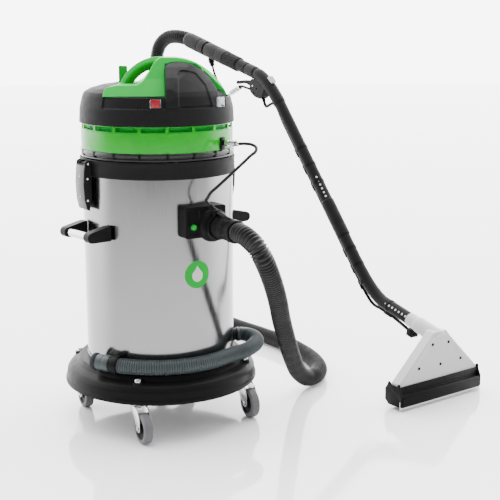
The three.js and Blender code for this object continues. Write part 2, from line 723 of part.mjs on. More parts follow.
// quick coupler: a stepped body with a sliding collar round its waist
function couplerBody(start, end) {
  return sleeveAlongX([
    [start, 3], [start, 7], [start + 8, 7], [start + 8, 5.5], [end - 14, 5.5], [end - 14, 6.5],
    [end - 8, 6.5], [end - 3, 4.6], [end - 3, 3],
  ], 8);
}

function couplerCollar(start, end) {
  return sleeveAlongX([
    [start + 13, 6], [start + 13, 8.5], [end - 15, 8.5], [end - 15, 6],
  ], 8);
}

const couplerPlace = frameAt(0, 0, COUPLER_ANGLE);
const raised = (manifold, height) => shell(manifold).translate(0, 0, height);
add('ring_nipple', ringNipple(), blackPlastic, couplerPlace);
add('ring_coupler', raised(couplerBody(NIPPLE_END + GAP, COUPLER_END), COUPLER_Z), brass, couplerPlace);
add('ring_coupler_collar', raised(couplerCollar(NIPPLE_END + GAP, COUPLER_END), COUPLER_Z), brightSteel,
  couplerPlace);

const atInlet = (point) => new THREE.Vector3(...point)
  .applyAxisAngle(new THREE.Vector3(0, 0, 1), radians(INLET_ANGLE))
  .add(new THREE.Vector3(inletX, inletY, 0))
  .toArray();
const leadRoute = [
  polar(COUPLER_END - 3 + GAP, COUPLER_ANGLE, COUPLER_Z),
  polar(272, COUPLER_ANGLE, COUPLER_Z + 1),
  [237, -168, 752],
  [247, -178, 746],
  [245, -188, 737],
  [231, -198, 727],
  [214, -208, 713],
  [198, -217, 700],
  [170, -227, 676],
  [147, -232, 656],
  [129, -232, 640],
  [121, -227, 626],
  atInlet([250, -26.9, INLET_Z + 66.2]),
  atInlet([254.4, -19.9, INLET_Z + 55.4]),
];
add('solution_lead', tube(leadRoute, LEAD_R, 8, 22), hoseBlack);

// ---------- hand wand: everything here is laid out in the wand's own upright plane ----------
const wand = frameAt(...WAND_FOOT, WAND_HEADING);
const [FOOT_END, LOWER_CORNER, UPPER_CORNER, HOSE_END] = WAND_CORNERS;
const inPlane = ([s, z]) => [s, 0, z];
const between = (from, to, t) => [from[0] + (to[0] - from[0]) * t, from[1] + (to[1] - from[1]) * t];

// a sleeve whose axis runs from one in-plane point to another, from a loop of [distance, radius] points
function sleeveBetween(from, to, loop, sides = 16) {
  const heading = Math.atan2(to[1] - from[1], to[0] - from[0]);
  const sleeve = shell(sleeveAlongX(loop, sides));
  return solid(sleeve.rotateY(-heading).translate(from[0], 0, from[1]));
}

const JOINT_T = 0.335; // where the sleeve joint sits along the long straight run
const joint = between(LOWER_CORNER, UPPER_CORNER, JOINT_T);

// the straight runs of the wand are joined by two gentle bends, which reach back and on by these lengths
const BEND_REACH = { lower: [55, 130], upper: [125, 62] };
const BEND_STEPS = 7;

function towards(from, to, length) {
  const span = Math.hypot(to[0] - from[0], to[1] - from[1]);
  return between(from, to, length / span);
}

// one step for each straight run, the rest for the bend between them
class Bend extends THREE.Curve {
  constructor(before, corner, after, [back, on]) {
    super();
    const v = (point) => new THREE.Vector3(...inPlane(point));
    const start = towards(corner, before, back);
    const end = towards(corner, after, on);
    this.runs = [
      new THREE.LineCurve3(v(before), v(start)),
      new THREE.QuadraticBezierCurve3(v(start), v(corner), v(end)),
      new THREE.LineCurve3(v(end), v(after)),
    ];
  }

  getPointAt(t) {
    const step = t * BEND_STEPS;
    if (step < 1) return this.runs[0].getPoint(step);
    if (step > BEND_STEPS - 1) return this.runs[2].getPoint(step - BEND_STEPS + 1);
    return this.runs[1].getPoint((step - 1) / (BEND_STEPS - 2));
  }

  getTangentAt(t) {
    const reach = 1e-4;
    const ahead = this.getPointAt(Math.min(t + reach, 1));
    return ahead.sub(this.getPointAt(Math.max(t - reach, 0))).normalize();
  }
}

// hollow round tube along a path in the wand's plane
function wandTube(path) {
  const section = new THREE.Shape(ringPoints(TUBE_R, 12));
  section.holes.push(new THREE.Path(ringPoints(TUBE_R - 2.5, 12)));
  return new THREE.ExtrudeGeometry(section, { steps: BEND_STEPS, extrudePath: path, bevelEnabled: false });
}

function ringPoints(radius, sides) {
  return arc(0, 0, radius, 0, 360 - 360 / sides, sides - 1).map(([x, y]) => new THREE.Vector2(x, y));
}

const lowerTubePath = new Bend(FOOT_END, LOWER_CORNER, towards(joint, LOWER_CORNER, GAP), BEND_REACH.lower);
const upperTubePath = new Bend(joint, UPPER_CORNER, towards(UPPER_CORNER, HOSE_END, 90), BEND_REACH.upper);

// the upper tube carries the sleeve that the lower tube pushes into
function upperTube() {
  const sleeveHalf = 66;
  const low = towards(joint, LOWER_CORNER, sleeveHalf);
  const bore = TUBE_R + 2 * GAP;
  const sleeve = sleeveBetween(low, UPPER_CORNER, [
    [0, bore], [0, 19.5], [4, 20.5], [2 * sleeveHalf - 4, 20.5], [2 * sleeveHalf, 18], [2 * sleeveHalf, 16],
    [sleeveHalf + 6, 16], [sleeveHalf + 6, bore],
  ]);
  return join(solid(wandTube(upperTubePath)), sleeve);
}

// grip, its collar and the ring where the solution line leaves the hose
function wandGrip() {
  const bore = TUBE_R + 3 * GAP;
  const body = sleeveBetween(UPPER_CORNER, HOSE_END, [
    [68, bore], [68, 20.5], [165, 20.5], [167, 24], [240, 24.5], [245, 26], [357, 26],
    [357, 15], [92, 15], [92, bore],
  ]);
  const takeOff = cylinder(8, [1160, 0, 945], [1147, 0, 914], 10);
  return join(body, takeOff);
}

const CUFF_LENGTH = Math.hypot(HOSE_END[0] - UPPER_CORNER[0], HOSE_END[1] - UPPER_CORNER[1]);
const CUFF_START = 357 + GAP;

function wandCuff() {
  return sleeveBetween(UPPER_CORNER, HOSE_END, [
    [CUFF_START, 15], [CUFF_START, 23.5], [364, 23.5], [364, 27], [CUFF_LENGTH, 27], [CUFF_LENGTH, 15],
  ]);
}

// ---------- trigger and solution valve ----------
const TRIGGER_PIN = [890, 854];

// the coupler lies in line between the valve's tail and the lead from the hose
const COUPLER_A = [979.4, 845.6];
const COUPLER_B = [1046, 817];
const couplerSpan = Math.hypot(COUPLER_B[0] - COUPLER_A[0], COUPLER_B[1] - COUPLER_A[1]);

function valveBody() {
  const outline = [
    [894, 874], [908, 862], [904, 834], [880, 818], [852, 812], [838, 820], [826, 850], [850, 872],
  ];
  const cheeks = cut(plate(outline, -15, 15), box([878, -8, 836], [930, 8, 890]));
  const pin = cylinder(2.5, [TRIGGER_PIN[0], -16, TRIGGER_PIN[1]], [TRIGGER_PIN[0], 16, TRIGGER_PIN[1]], 8);
  const tail = join(
    cylinder(LEAD_R, [870, 0, 832], [970, 0, 849], 8),
    cylinder(LEAD_R, [967.5, 0, 850.7], inPlane(towards(COUPLER_A, COUPLER_B, -GAP)), 8),
  );
  const round = new THREE.Shape(ringPoints(TUBE_R + 2 * GAP, 12));
  const tubeSpace = new THREE.ExtrudeGeometry(round, {
    steps: BEND_STEPS, extrudePath: upperTubePath, bevelEnabled: false,
  });
  const gripEnds = [60, 200].map((reach) => inPlane(towards(UPPER_CORNER, HOSE_END, reach)));
  const body = cut(cheeks, solid(tubeSpace), cylinder(21.5, ...gripEnds));
  const outlet = cylinder(6, [852, 0, 822], [846, 0, 806], 10);
  return join(body, pin, tail, outlet);
}

function triggerLever() {
  const [px, pz] = TRIGGER_PIN;
  const outline = [
    ...arc(px, pz, 7.5, 110, 290, 7), [912, 851], [934, 858.5], [960, 859.5], [990, 856], [994, 860],
    [992, 867], [949, 870], [912, 871], [900, 867],
  ];
  return cut(plate(outline, -7, 7), cylinder(3, [px, -20, pz], [px, 20, pz], 8));
}

// thumb slide over a bleed hole, seated on the outside of the upper bend
const RELIEF = { s: 804.8, z: 875.8, half: 14, high: 9, heading: 38.6 };

function reliefSlider() {
  const { s, z, half, high, heading } = RELIEF;
  const cap = shell(box([-half, -9, -high / 2], [half, 9, high / 2]));
  return cap.rotateY(-radians(heading)).translate(s, 0, z);
}

add('wand_grip', wandGrip(), greyBlackPlastic, wand);
add('wand_cuff', wandCuff(), blackPlastic, wand);
add('upper_tube', upperTube(), blackPlastic, wand);
add('lower_tube', wandTube(lowerTubePath), blackPlastic, wand);
add('valve_body', valveBody(), greyBlackPlastic, wand);
add('trigger_lever', triggerLever(), blackPlastic, wand);
add('relief_slider', reliefSlider(), toolWhite, wand);

function inLine(sleeve) {
  const heading = Math.atan2(COUPLER_B[1] - COUPLER_A[1], COUPLER_B[0] - COUPLER_A[0]);
  return shell(sleeve).rotateY(-heading).translate(COUPLER_A[0], 0, COUPLER_A[1]);
}

add('wand_coupler', inLine(couplerBody(GAP, couplerSpan)), brass, wand);
add('wand_coupler_collar', inLine(couplerCollar(GAP, couplerSpan)), brightSteel, wand);

const wandLeadRoute = [
  [COUPLER_B[0] - 1.8, COUPLER_B[1] + 0.8], [1058, 812], [1072, 810], [1086, 817], [1098, 831], [1111, 850],
  [1125, 872], [1139, 895], [1146.7, 913.2],
].map(inPlane);
add('wand_lead', tube(wandLeadRoute, LEAD_R, 8, 13), hoseBlack, wand);

// ---------- solution pipe under the wand, ending in the spray jet ----------
const PIPE_OFFSET = 26; // below the tube's centre line
const JET_OFFSET = 34;
const PIPE_R = 4;

function belowLine(from, to, t, offset) {
  const [s, z] = between(from, to, t);
  const span = Math.hypot(to[0] - from[0], to[1] - from[1]);
  return [s + (offset * (to[1] - from[1])) / span, z - (offset * (to[0] - from[0])) / span];
}

function solutionPipe() {
  const low = (t, offset = PIPE_OFFSET) => inPlane(belowLine(FOOT_END, LOWER_CORNER, t, offset));
  const long = (t) => inPlane(belowLine(LOWER_CORNER, UPPER_CORNER, t, PIPE_OFFSET));
  const route = [
    [845.8, 0, 805.4], [842.5, 0, 797], [834, 0, 788],
    ...[0.9, 0.8, 0.65, 0.5, 0.35, 0.25, 0.17, 0.1].map(long),
    ...[0.97, 0.78, 0.55].map((t) => low(t)),
    low(0.35, 29),
    low(0.16, JET_OFFSET),
  ];
  const pipe = solid(tube(route, PIPE_R, 6, 22));
  const jetEnds = [0.18, 0].map((t) => belowLine(FOOT_END, LOWER_CORNER, t, JET_OFFSET));
  const jet = sleeveBetween(...jetEnds, [[0, 2], [0, 9], [24, 9], [32, 5], [32, 2]], 10);
  const clipAt = (t, from, to) => {
    const [s, z] = belowLine(from, to, t, PIPE_OFFSET);
    return box([s - 9, -6, z - 6], [s + 9, 6, z + 5]);
  };
  return join(pipe, jet, clipAt(0.06, LOWER_CORNER, UPPER_CORNER), clipAt(0.62, FOOT_END, LOWER_CORNER));
}

add('solution_pipe', solutionPipe(), blackPlastic, wand);

// ---------- floor tool ----------
const TOOL_BACK = 52;
const TOOL_FRONT = 20;
const TOOL_FOOT_Z = 66;
const SOLE_Z = 8; // flat sole, clear of the floor while the tool stands on its lip
const BLADE = { front: 8, back: 10, half: TOOL_HALF_WIDTH + 2, high: 28 };

function toolBody() {
  const fan = [
    [-156, TOOL_FOOT_Z], [156, TOOL_FOOT_Z], [36, 188], [24, 202], [-24, 202], [-36, 188],
  ];
  const inner = [[-148, TOOL_FOOT_Z - 5], [148, TOOL_FOOT_Z - 5], [30, 184], [-30, 184]];
  const mouth = towards(FOOT_END, LOWER_CORNER, 44);
  const barrel = sleeveBetween(mouth, FOOT_END, [
    [0, 0], [0, 20], [30, 20.5], [40, 23], [122, 23], [126, 20], [126, 0],
  ]);
  const bore = sleeveBetween(mouth, FOOT_END, [
    [-1, 0], [-1, TUBE_R + 2 * GAP], [45, TUBE_R + 2 * GAP], [45, 16], [118, 16], [118, 0],
  ]);
  const hollow = slab(inner, TOOL_FRONT + 3, TOOL_BACK - 3);
  return cut(join(slab(fan, TOOL_FRONT, TOOL_BACK), barrel), hollow, bore);
}

function toolBase() {
  const profile = [
    [6, SOLE_Z + 2], [2, 14], [2, 38], [5, 43], [15, 45], [15, TOOL_FOOT_Z - GAP], [58, TOOL_FOOT_Z - GAP],
    [72, 52], [72, 20], [62, SOLE_Z], [16, SOLE_Z], [14, SOLE_Z + 2],
  ];
  const cap = [
    [4, 12], [4, 42], [13, 66], [15, 76], [21, 76], [24, 68], [50, 68], [53, 76], [59, 76], [62, 66],
    [70, 54], [70, 22], [60, 14],
  ];
  const bar = plate(profile, -TOOL_HALF_WIDTH, TOOL_HALF_WIDTH);
  const slot = box([24, -146, 0], [49, 146, 80]);
  const bladeSlot = box([BLADE.front - GAP, -200, -5], [BLADE.back + GAP, 200, BLADE.high + GAP]);
  const ends = [-1, 1].map((side) => {
    const edges = [side * (TOOL_HALF_WIDTH - 4), side * TOOL_HALF_WIDTH].sort((p, q) => p - q);
    return plate(cap, ...edges);
  });
  return cut(join(bar, ...ends), slot, bladeSlot);
}

add('tool_body', toolBody(), toolWhite, wand);
add('tool_base', toolBase(), blackPlastic, wand);
add('lip_blade', box([BLADE.front, -BLADE.half, 0], [BLADE.back, BLADE.half, BLADE.high]), brightSteel, wand);

// ---------- suction hose: down from the inlet, back along the floor and up to the wand ----------
const beyondCuff = (reach) => new THREE.Vector3(...inPlane(towards(HOSE_END, UPPER_CORNER, -reach)))
  .applyAxisAngle(new THREE.Vector3(0, 0, 1), radians(WAND_HEADING))
  .add(new THREE.Vector3(...WAND_FOOT, 0))
  .toArray();
const hoseRoute = [
  atInlet([CUFF_END_X + 2 * GAP, 0, INLET_Z]),
  atInlet([CUFF_END_X + 14, 0, INLET_Z]),
  [204, -334, 551],
  [219, -357, 541],
  [231, -370, 528],
  [242, -373, 509],
  [253, -362, 486],
  [269, -330, 446],
  [284, -290, 403],
  [298, -245, 356],
  [312, -190, 301],
  [337, -110, 219],
  [366, -12, 134],
  [396, 73, 66],
  [428, 122, 32],
  [458, 158, 27],
  [478, 220, 26],
  [474, 310, 26],
  [446, 410, 26],
  [406, 500, 26],
  [336, 611, 26],
  [262, 717, 26],
  [190, 840, 26],
  [130, 960, 26],
  [80, 1070, 28],
  [40, 1160, 48],
  [12, 1220, 105],
  [0, 1247, 200],
  [-2, 1252, 400],
  [-2, 1252, 600],
  [-2, 1250, 760],
  [-1, 1243, 860],
  [2, 1228, 930],
  [15, 1204, 980],
  [42, 1170, 1008],
  [78, 1128, 1014],
  beyondCuff(22),
  beyondCuff(2 * GAP),
];
add('suction_hose', tube(hoseRoute, HOSE_R, 8, 56), hoseBlack);

// ---------- origin: on the floor, under the middle of the machine and wand without the hoses ----------
const FREE_PARTS = [
  'suction_hose', 'solution_lead', 'wand_lead', 'drain_hose', 'drain_cap', 'ring_coupler',
  'ring_coupler_collar', 'wand_coupler', 'wand_coupler_collar',
];
machine.updateMatrixWorld(true);
const extent = new THREE.Box3();
machine.traverse((piece) => {
  if (piece.isMesh && !FREE_PARTS.includes(piece.name)) extent.expandByObject(piece, true);
});
const middle = extent.getCenter(new THREE.Vector3());
machine.position.set(-middle.x, -middle.y, -extent.min.z);

export default machine;
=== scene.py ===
"""Looks of a drum spot extractor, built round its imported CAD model.

Shapes are written in millimetres in the machine's own frame (Z up, the drum's axis at x = y = 0, the floor
at z = 0) and turned into metres when a piece is made. Cord routes are in metres. The wand has its own frame:
X runs along the floor from its tool towards the hose.
"""

import math

import bmesh
import bpy
from mathutils import Matrix, Vector


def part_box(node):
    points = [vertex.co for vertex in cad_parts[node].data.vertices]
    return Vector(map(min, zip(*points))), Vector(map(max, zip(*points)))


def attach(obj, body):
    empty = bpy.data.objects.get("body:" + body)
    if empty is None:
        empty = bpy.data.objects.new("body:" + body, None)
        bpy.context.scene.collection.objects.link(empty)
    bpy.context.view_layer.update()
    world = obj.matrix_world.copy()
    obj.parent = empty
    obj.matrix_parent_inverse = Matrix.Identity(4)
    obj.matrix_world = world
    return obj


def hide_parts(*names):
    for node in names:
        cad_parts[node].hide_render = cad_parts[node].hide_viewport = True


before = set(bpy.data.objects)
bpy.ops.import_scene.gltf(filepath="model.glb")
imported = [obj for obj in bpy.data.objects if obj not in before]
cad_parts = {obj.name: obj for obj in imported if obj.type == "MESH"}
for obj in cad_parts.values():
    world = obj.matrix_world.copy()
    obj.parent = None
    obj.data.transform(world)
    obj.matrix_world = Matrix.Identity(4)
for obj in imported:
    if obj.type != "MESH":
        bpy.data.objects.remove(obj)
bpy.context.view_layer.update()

# ---------- driving sizes, millimetres ----------
DRUM_R = 200
SEAT_Z = 166
BAND_FOOT = 668
DRUM_TOP = 711
RING_FOOT = 733.3
RING_TOP = 783
VENT_TOP = 799.7
HEAD_FOOT = 800
HEAD_R = 204
COVER_Z = 872
CASTER_ANGLES = (-105, -15, 75, 165)
CASTER_RING = 234
TRAIL_HEADING = -68
TRAIL = 35
WHEEL_R = 39.39
INLET_ANGLE = -63.7
INLET_SIDE = 35
INLET_Z = 553
OUTLET_ANGLE = 9
OUTLET_Z = 197
BUTTON_Y, BUTTON_Z = -57, 552
EMBLEM_ANGLE = -61.2
SWITCH_ANGLE = -91
SOCKET_ANGLE = -35
COUPLER_ANGLE = -35
COUPLER_Z = 752
CLIP_ANGLE = -121
CAP_ANGLE = CLIP_ANGLE - 2.5
DRAIN_RUN_R = 223
DRAIN_Z = 188
WAND_HEADING = 121.5
WAND_X, WAND_Y = 798, -22
FOOT_END = (100, 200)
LOWER_CORNER = (300.5, 251)
UPPER_CORNER = (824, 878)
HOSE_END = (1292, 1001.5)
TUBE_R = 18.3

# ---------- frames ----------
drum_low, drum_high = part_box("drum")
AXIS = Vector(((drum_low.x + drum_high.x) / 2, (drum_low.y + drum_high.y) / 2, 0))


def place(angle=0, x=0, y=0, z=0):
    """A frame at a point of the machine, in millimetres, turned about Z by an angle in degrees."""
    offset = AXIS + Vector((x, y, z)) * 0.001
    return Matrix.Translation(offset) @ Matrix.Rotation(math.radians(angle), 4, "Z")


def polar(r, angle, z=0.0):
    return Vector((r * math.cos(math.radians(angle)), r * math.sin(math.radians(angle)), z))


MACHINE = place()
WAND = place(WAND_HEADING, WAND_X, WAND_Y)
INLET_OFFSET = polar(INLET_SIDE, INLET_ANGLE + 90)
INLET = place(INLET_ANGLE, INLET_OFFSET.x, INLET_OFFSET.y)


def on_machine(x, y, z):
    """A point given in metres in the machine's frame, in the row's frame."""
    return AXIS + Vector((x, y, z))


# ---------- camera ----------
CAMERA_PLACE = (0, -2.7938, 1.03)
CAMERA_HEADING = (0.08633, 0.97514, -0.20411)
LENS_MM = 75.27


def add_object(name, data):
    made = bpy.data.objects.new(name, data)
    bpy.context.scene.collection.objects.link(made)
    return made


def make_camera():
    data = bpy.data.cameras.new("camera")
    data.lens = LENS_MM
    data.sensor_width = 36
    camera = add_object("camera", data)
    forward = Vector(CAMERA_HEADING).normalized()
    right = forward.cross(Vector((0, 0, 1))).normalized()
    up = right.cross(forward)
    facing = Matrix((right, up, -forward)).transposed().to_4x4()
    camera.matrix_world = Matrix.Translation(on_machine(*CAMERA_PLACE)) @ facing
    bpy.context.scene.camera = camera


make_camera()


# ---------- materials ----------
def blank(name):
    material = bpy.data.materials.new(name)
    material.use_nodes = True
    tree = material.node_tree
    shader = tree.nodes["Principled BSDF"]
    return material, tree, shader


def add_node(tree, kind, **values):
    """A shader node with its own input values. An underscore in an input's name stands for a space."""
    made = tree.nodes.new("ShaderNode" + kind)
    for socket, value in values.items():
        made.inputs[socket.replace("_", " ")].default_value = value
    return made


def noise(tree, scale, detail=3.0, stretch=None):
    """Noise in the object's own coordinates, stretched along an axis if asked."""
    texture = add_node(tree, "TexNoise", Scale=scale, Detail=detail)
    source = add_node(tree, "TexCoord").outputs["Object"]
    if stretch:
        mapping = add_node(tree, "Mapping", Scale=stretch)
        tree.links.new(source, mapping.inputs["Vector"])
        source = mapping.outputs["Vector"]
    tree.links.new(source, texture.inputs["Vector"])
    return texture.outputs["Fac"]


NOISE_LOW, NOISE_HIGH = 0.3, 0.7  # where nearly all of a noise texture's values lie


def spread(tree, value, low, high):
    """Maps a noise value to a range."""
    remap = add_node(tree, "MapRange", From_Min=NOISE_LOW, From_Max=NOISE_HIGH, To_Min=low, To_Max=high)
    tree.links.new(value, remap.inputs["Value"])
    return remap.outputs["Result"]


def tint(tree, value, dark, light):
    ramp = add_node(tree, "ValToRGB")
    for stop, position, colour in zip(ramp.color_ramp.elements, (NOISE_LOW, NOISE_HIGH), (dark, light)):
        stop.position = position
        stop.color = (*colour, 1)
    tree.links.new(value, ramp.inputs["Fac"])
    return ramp.outputs["Color"]


def bump(tree, shader, value, strength, distance):
    relief = add_node(tree, "Bump", Strength=strength, Distance=distance)
    tree.links.new(value, relief.inputs["Height"])
    tree.links.new(relief.outputs["Normal"], shader.inputs["Normal"])


def shades(colour, amount):
    return tuple(c * (1 - amount) for c in colour), tuple(min(1, c * (1 + amount)) for c in colour)


def plastic(name, colour, rough, grain=1400, depth=0.00012, vary=0.06, gloss=0.5):
    """Moulded plastic or rubber: a fine cast grain, faint mottling and uneven gloss."""
    material, tree, shader = blank(name)
    shader.inputs["Specular IOR Level"].default_value = gloss
    tree.links.new(tint(tree, noise(tree, 14), *shades(colour, vary)), shader.inputs["Base Color"])
    tree.links.new(spread(tree, noise(tree, 45), rough - 0.05, rough + 0.06), shader.inputs["Roughness"])
    bump(tree, shader, noise(tree, grain, 2), 0.35, depth)
    return material


def metal(name, colour, rough, stretch=(1, 1, 1), scale=300, depth=0.00004, vary=0.05, anisotropic=0.0):
    """Plated or brushed metal: drawn-out noise stands for the brushing."""
    material, tree, shader = blank(name)
    shader.inputs["Metallic"].default_value = 1.0
    shader.inputs["Anisotropic"].default_value = anisotropic
    tree.links.new(tint(tree, noise(tree, 8), *shades(colour, vary)), shader.inputs["Base Color"])
    brushed = noise(tree, scale, 4, stretch)
    tree.links.new(spread(tree, brushed, rough * 0.8, rough * 1.35), shader.inputs["Roughness"])
    bump(tree, shader, brushed, 0.25, depth)
    return material


def see_through(name, colour, rough, transmission, gloss=0.5):
    """Clear or tinted moulding that passes light, a little cloudy."""
    material, tree, shader = blank(name)
    shader.inputs["Specular IOR Level"].default_value = gloss
    shader.inputs["Transmission Weight"].default_value = transmission
    shader.inputs["IOR"].default_value = 1.46
    tree.links.new(tint(tree, noise(tree, 10), *shades(colour, 0.05)), shader.inputs["Base Color"])
    tree.links.new(spread(tree, noise(tree, 60), rough * 0.7, rough * 1.4), shader.inputs["Roughness"])
    bump(tree, shader, noise(tree, 300, 1), 0.1, 0.00005)
    return material


# each look: its material and the slot that it belongs to
LOOKS = {
    "black": (plastic("black_moulding", (0.0045, 0.0045, 0.0048), 0.42, gloss=0.07), "black_plastic"),
    "head_black": (plastic("dark_grey_moulding", (0.0085, 0.0085, 0.009), 0.48, gloss=0.05), "head_plastic"),
    "wand_black": (plastic("wand_moulding", (0.0075, 0.0075, 0.008), 0.48, gloss=0.07), "black_plastic"),
    "green": (plastic("green_moulding", (0.0, 0.3, 0.03), 0.4, 900, 0.00005, 0.03, 0.05), "green_plastic"),
    "tank": (see_through("green_tank", (0.0, 0.42, 0.012), 0.12, 0.42, gloss=0.15), "green_tank"),
    "clear": (see_through("clear_moulding", (0.62, 0.68, 0.7), 0.12, 0.75), "clear_plastic"),
    "smoke": (see_through("smoked_moulding", (0.012, 0.012, 0.013), 0.14, 0.1, gloss=0.3), "clear_plastic"),
    "steel": (
        metal("stainless_sheet", (0.225, 0.225, 0.228), 0.17, (40, 40, 1), 9, 0.00003, 0.03, 0.4),
        "stainless",
    ),
    "bright": (metal("bright_plating", (0.55, 0.55, 0.56), 0.14), "bright_steel"),
    "tyre": (plastic("grey_tread", (0.12, 0.12, 0.125), 0.55, 700, gloss=0.25), "grey_rubber"),
    "hose": (plastic("hose_rubber", (0.005, 0.005, 0.0055), 0.34, 900, gloss=0.22), "hose_black"),
    "drain": (plastic("drain_hose_rubber", (0.038, 0.048, 0.051), 0.38, 900, gloss=0.25), "drain_grey"),
    "drain_dark": (plastic("drain_cap_rubber", (0.014, 0.016, 0.017), 0.45, 900, gloss=0.2), "drain_grey"),
    "red": (see_through("red_lens", (0.26, 0.006, 0.014), 0.25, 0.2, gloss=0.3), "red_plastic"),
    "white": (plastic("light_grey_moulding", (0.48, 0.48, 0.475), 0.4, 800, 0.0001, 0.02, 0.3), "tool_white"),
    "strap": (plastic("latch_facing", (0.045, 0.045, 0.047), 0.35, 900, gloss=0.3), "head_plastic"),
    "motor": (metal("motor_casing", (0.2, 0.21, 0.22), 0.45), "motor_grey"),
    "brass": (metal("plated_brass", (0.62, 0.6, 0.54), 0.13), "brass"),
}


# ---------- shape helpers: a shape is (points, faces), in millimetres ----------
def merge(*shapes):
    points, faces = [], []
    for more_points, more_faces in shapes:
        start = len(points)
        points += more_points
        faces += [[start + i for i in face] for face in more_faces]
    return points, faces


def moved(shape, matrix):
    return [matrix @ p for p in shape[0]], shape[1]


def shift(x=0, y=0, z=0):
    return Matrix.Translation((x, y, z))


def turn(angle, axis="Z"):
    return Matrix.Rotation(math.radians(angle), 4, axis)


def along(start, end):
    """A frame at start whose Z axis points to end."""
    start, end = Vector(start), Vector(end)
    return Matrix.Translation(start) @ (end - start).to_track_quat("Z", "Y").to_matrix().to_4x4()


def rounded(points, steps=4, radius=0.0, loop=True):
    """Rounds the corners of an outline. A point may carry its own radius as a third number."""
    result = []
    for i, point in enumerate(points):
        here = Vector(point[:2])
        r = point[2] if len(point) > 2 else radius
        if r <= 0 or (not loop and i in (0, len(points) - 1)):
            result.append(tuple(here))
            continue
        back = Vector(points[i - 1][:2]) - here
        on = Vector(points[(i + 1) % len(points)][:2]) - here
        half = back.angle(on) / 2
        if half > 1.5:
            result.append(tuple(here))
            continue
        reach = min(r / math.tan(half), 0.48 * back.length, 0.48 * on.length)
        start = here + back.normalized() * reach
        end = here + on.normalized() * reach
        for k in range(steps + 1):
            t = k / steps
            result.append(tuple(start * (1 - t) ** 2 + here * 2 * t * (1 - t) + end * t * t))
    return result


def arc(cx, cy, r, begin, end, steps=16):
    angles = [math.radians(begin + (end - begin) * i / steps) for i in range(steps + 1)]
    return [(cx + r * math.cos(a), cy + r * math.sin(a)) for a in angles]


def lathe(profile, sides=96):
    """Turned about Z from (radius, height) points. Ends off the axis are joined to each other."""
    points, rings, faces = [], [], []
    for r, z in profile:
        if r < 1e-6:
            rings.append([len(points)])
            points.append(Vector((0, 0, z)))
        else:
            rings.append(list(range(len(points), len(points) + sides)))
            points += [polar(r, 360 * i / sides, z) for i in range(sides)]
    pairs = list(zip(rings, rings[1:]))
    if len(rings[0]) > 1 and len(rings[-1]) > 1:
        pairs.append((rings[-1], rings[0]))
    for a, b in pairs:
        for i in range(sides):
            j = (i + 1) % sides
            if len(a) > 1 and len(b) > 1:
                faces.append([a[i], a[j], b[j], b[i]])
            elif len(a) > 1:
                faces.append([a[i], a[j], b[0]])
            elif len(b) > 1:
                faces.append([a[0], b[j], b[i]])
    return points, faces


def turned(profile, sides, steps, loop=True):
    """A lathed shape whose profile has its corners rounded."""
    return lathe(rounded(profile, steps, loop=loop), sides)


def level(z):
    """Lays a lathed shape down so that its axis runs along X at a height."""
    return shift(z=z) @ turn(90, "Y")


def rod(r, start, end, sides=32, edge=0.0):
    """A round bar between two points, its ends slightly rounded."""
    length = (Vector(end) - Vector(start)).length
    profile = [(0, 0), (r, 0, edge), (r, length, edge), (0, length)]
    return moved(turned(profile, sides, 3, False), along(start, end))


def ring_bar(outer, inner, start, end, sides=48, edge=0.0):
    """A sleeve between two points."""
    length = (Vector(end) - Vector(start)).length
    profile = [(inner, 0), (outer, 0, edge), (outer, length, edge), (inner, length)]
    return moved(turned(profile, sides, 3), along(start, end))


def slab(outline, low, high, plane="xz"):
    """An outline pushed through from low to high along the axis that isn't in its plane."""
    put = {
        "xz": lambda u, v, t: Vector((u, t, v)),
        "yz": lambda u, v, t: Vector((t, u, v)),
        "xy": lambda u, v, t: Vector((u, v, t)),
    }[plane]
    n = len(outline)
    points = [put(p[0], p[1], t) for t in (low, high) for p in outline]
    faces = [list(range(n)), list(range(n, 2 * n))]
    faces += [[i, (i + 1) % n, n + (i + 1) % n, n + i] for i in range(n)]
    return points, faces


def mirrored(right):
    """An outline that is the same on both sides, from the points of its right side."""
    left = [(-u, *rest) for u, *rest in reversed(right)]
    return [left[-1], *right, *left[:-1]]


def block(low, high, edge=0.0):
    """A box with rounded upright edges."""
    (x0, y0, z0), (x1, y1, z1) = low, high
    return slab(rounded([(x0, y0), (x1, y0), (x1, y1), (x0, y1)], 4, edge), z0, z1, "xy")


def smooth(route, step):
    """Points a step apart on the centripetal curve through a route."""
    points = [Vector(p) for p in route]
    points = [points[0] * 2 - points[1], *points, points[-1] * 2 - points[-2]]
    dense = []
    for a, b, c, d in zip(points, points[1:], points[2:], points[3:]):
        k1 = math.sqrt((b - a).length)
        k2 = k1 + math.sqrt((c - b).length)
        k3 = k2 + math.sqrt((d - c).length)
        for i in range(24):
            t = k1 + (k2 - k1) * i / 24
            ab = a * ((k1 - t) / k1) + b * (t / k1)
            bc = b * ((k2 - t) / (k2 - k1)) + c * ((t - k1) / (k2 - k1))
            cd = c * ((k3 - t) / (k3 - k2)) + d * ((t - k2) / (k3 - k2))
            abc = ab * ((k2 - t) / k2) + bc * (t / k2)
            bcd = bc * ((k3 - t) / (k3 - k1)) + cd * ((t - k1) / (k3 - k1))
            dense.append(abc * ((k2 - t) / (k2 - k1)) + bcd * ((t - k1) / (k2 - k1)))
    dense.append(points[-2])
    return even(dense, step)


def even(points, step):
    """The same line, cut into equal steps close to the given one."""
    lengths = [0.0]
    for a, b in zip(points, points[1:]):
        lengths.append(lengths[-1] + (b - a).length)
    count = max(2, round(lengths[-1] / step))
    result, k = [], 0
    for i in range(count + 1):
        target = lengths[-1] * i / count
        while k < len(points) - 2 and lengths[k + 1] < target:
            k += 1
        share = (target - lengths[k]) / max(1e-9, lengths[k + 1] - lengths[k])
        result.append(points[k].lerp(points[k + 1], min(1.0, share)))
    return result


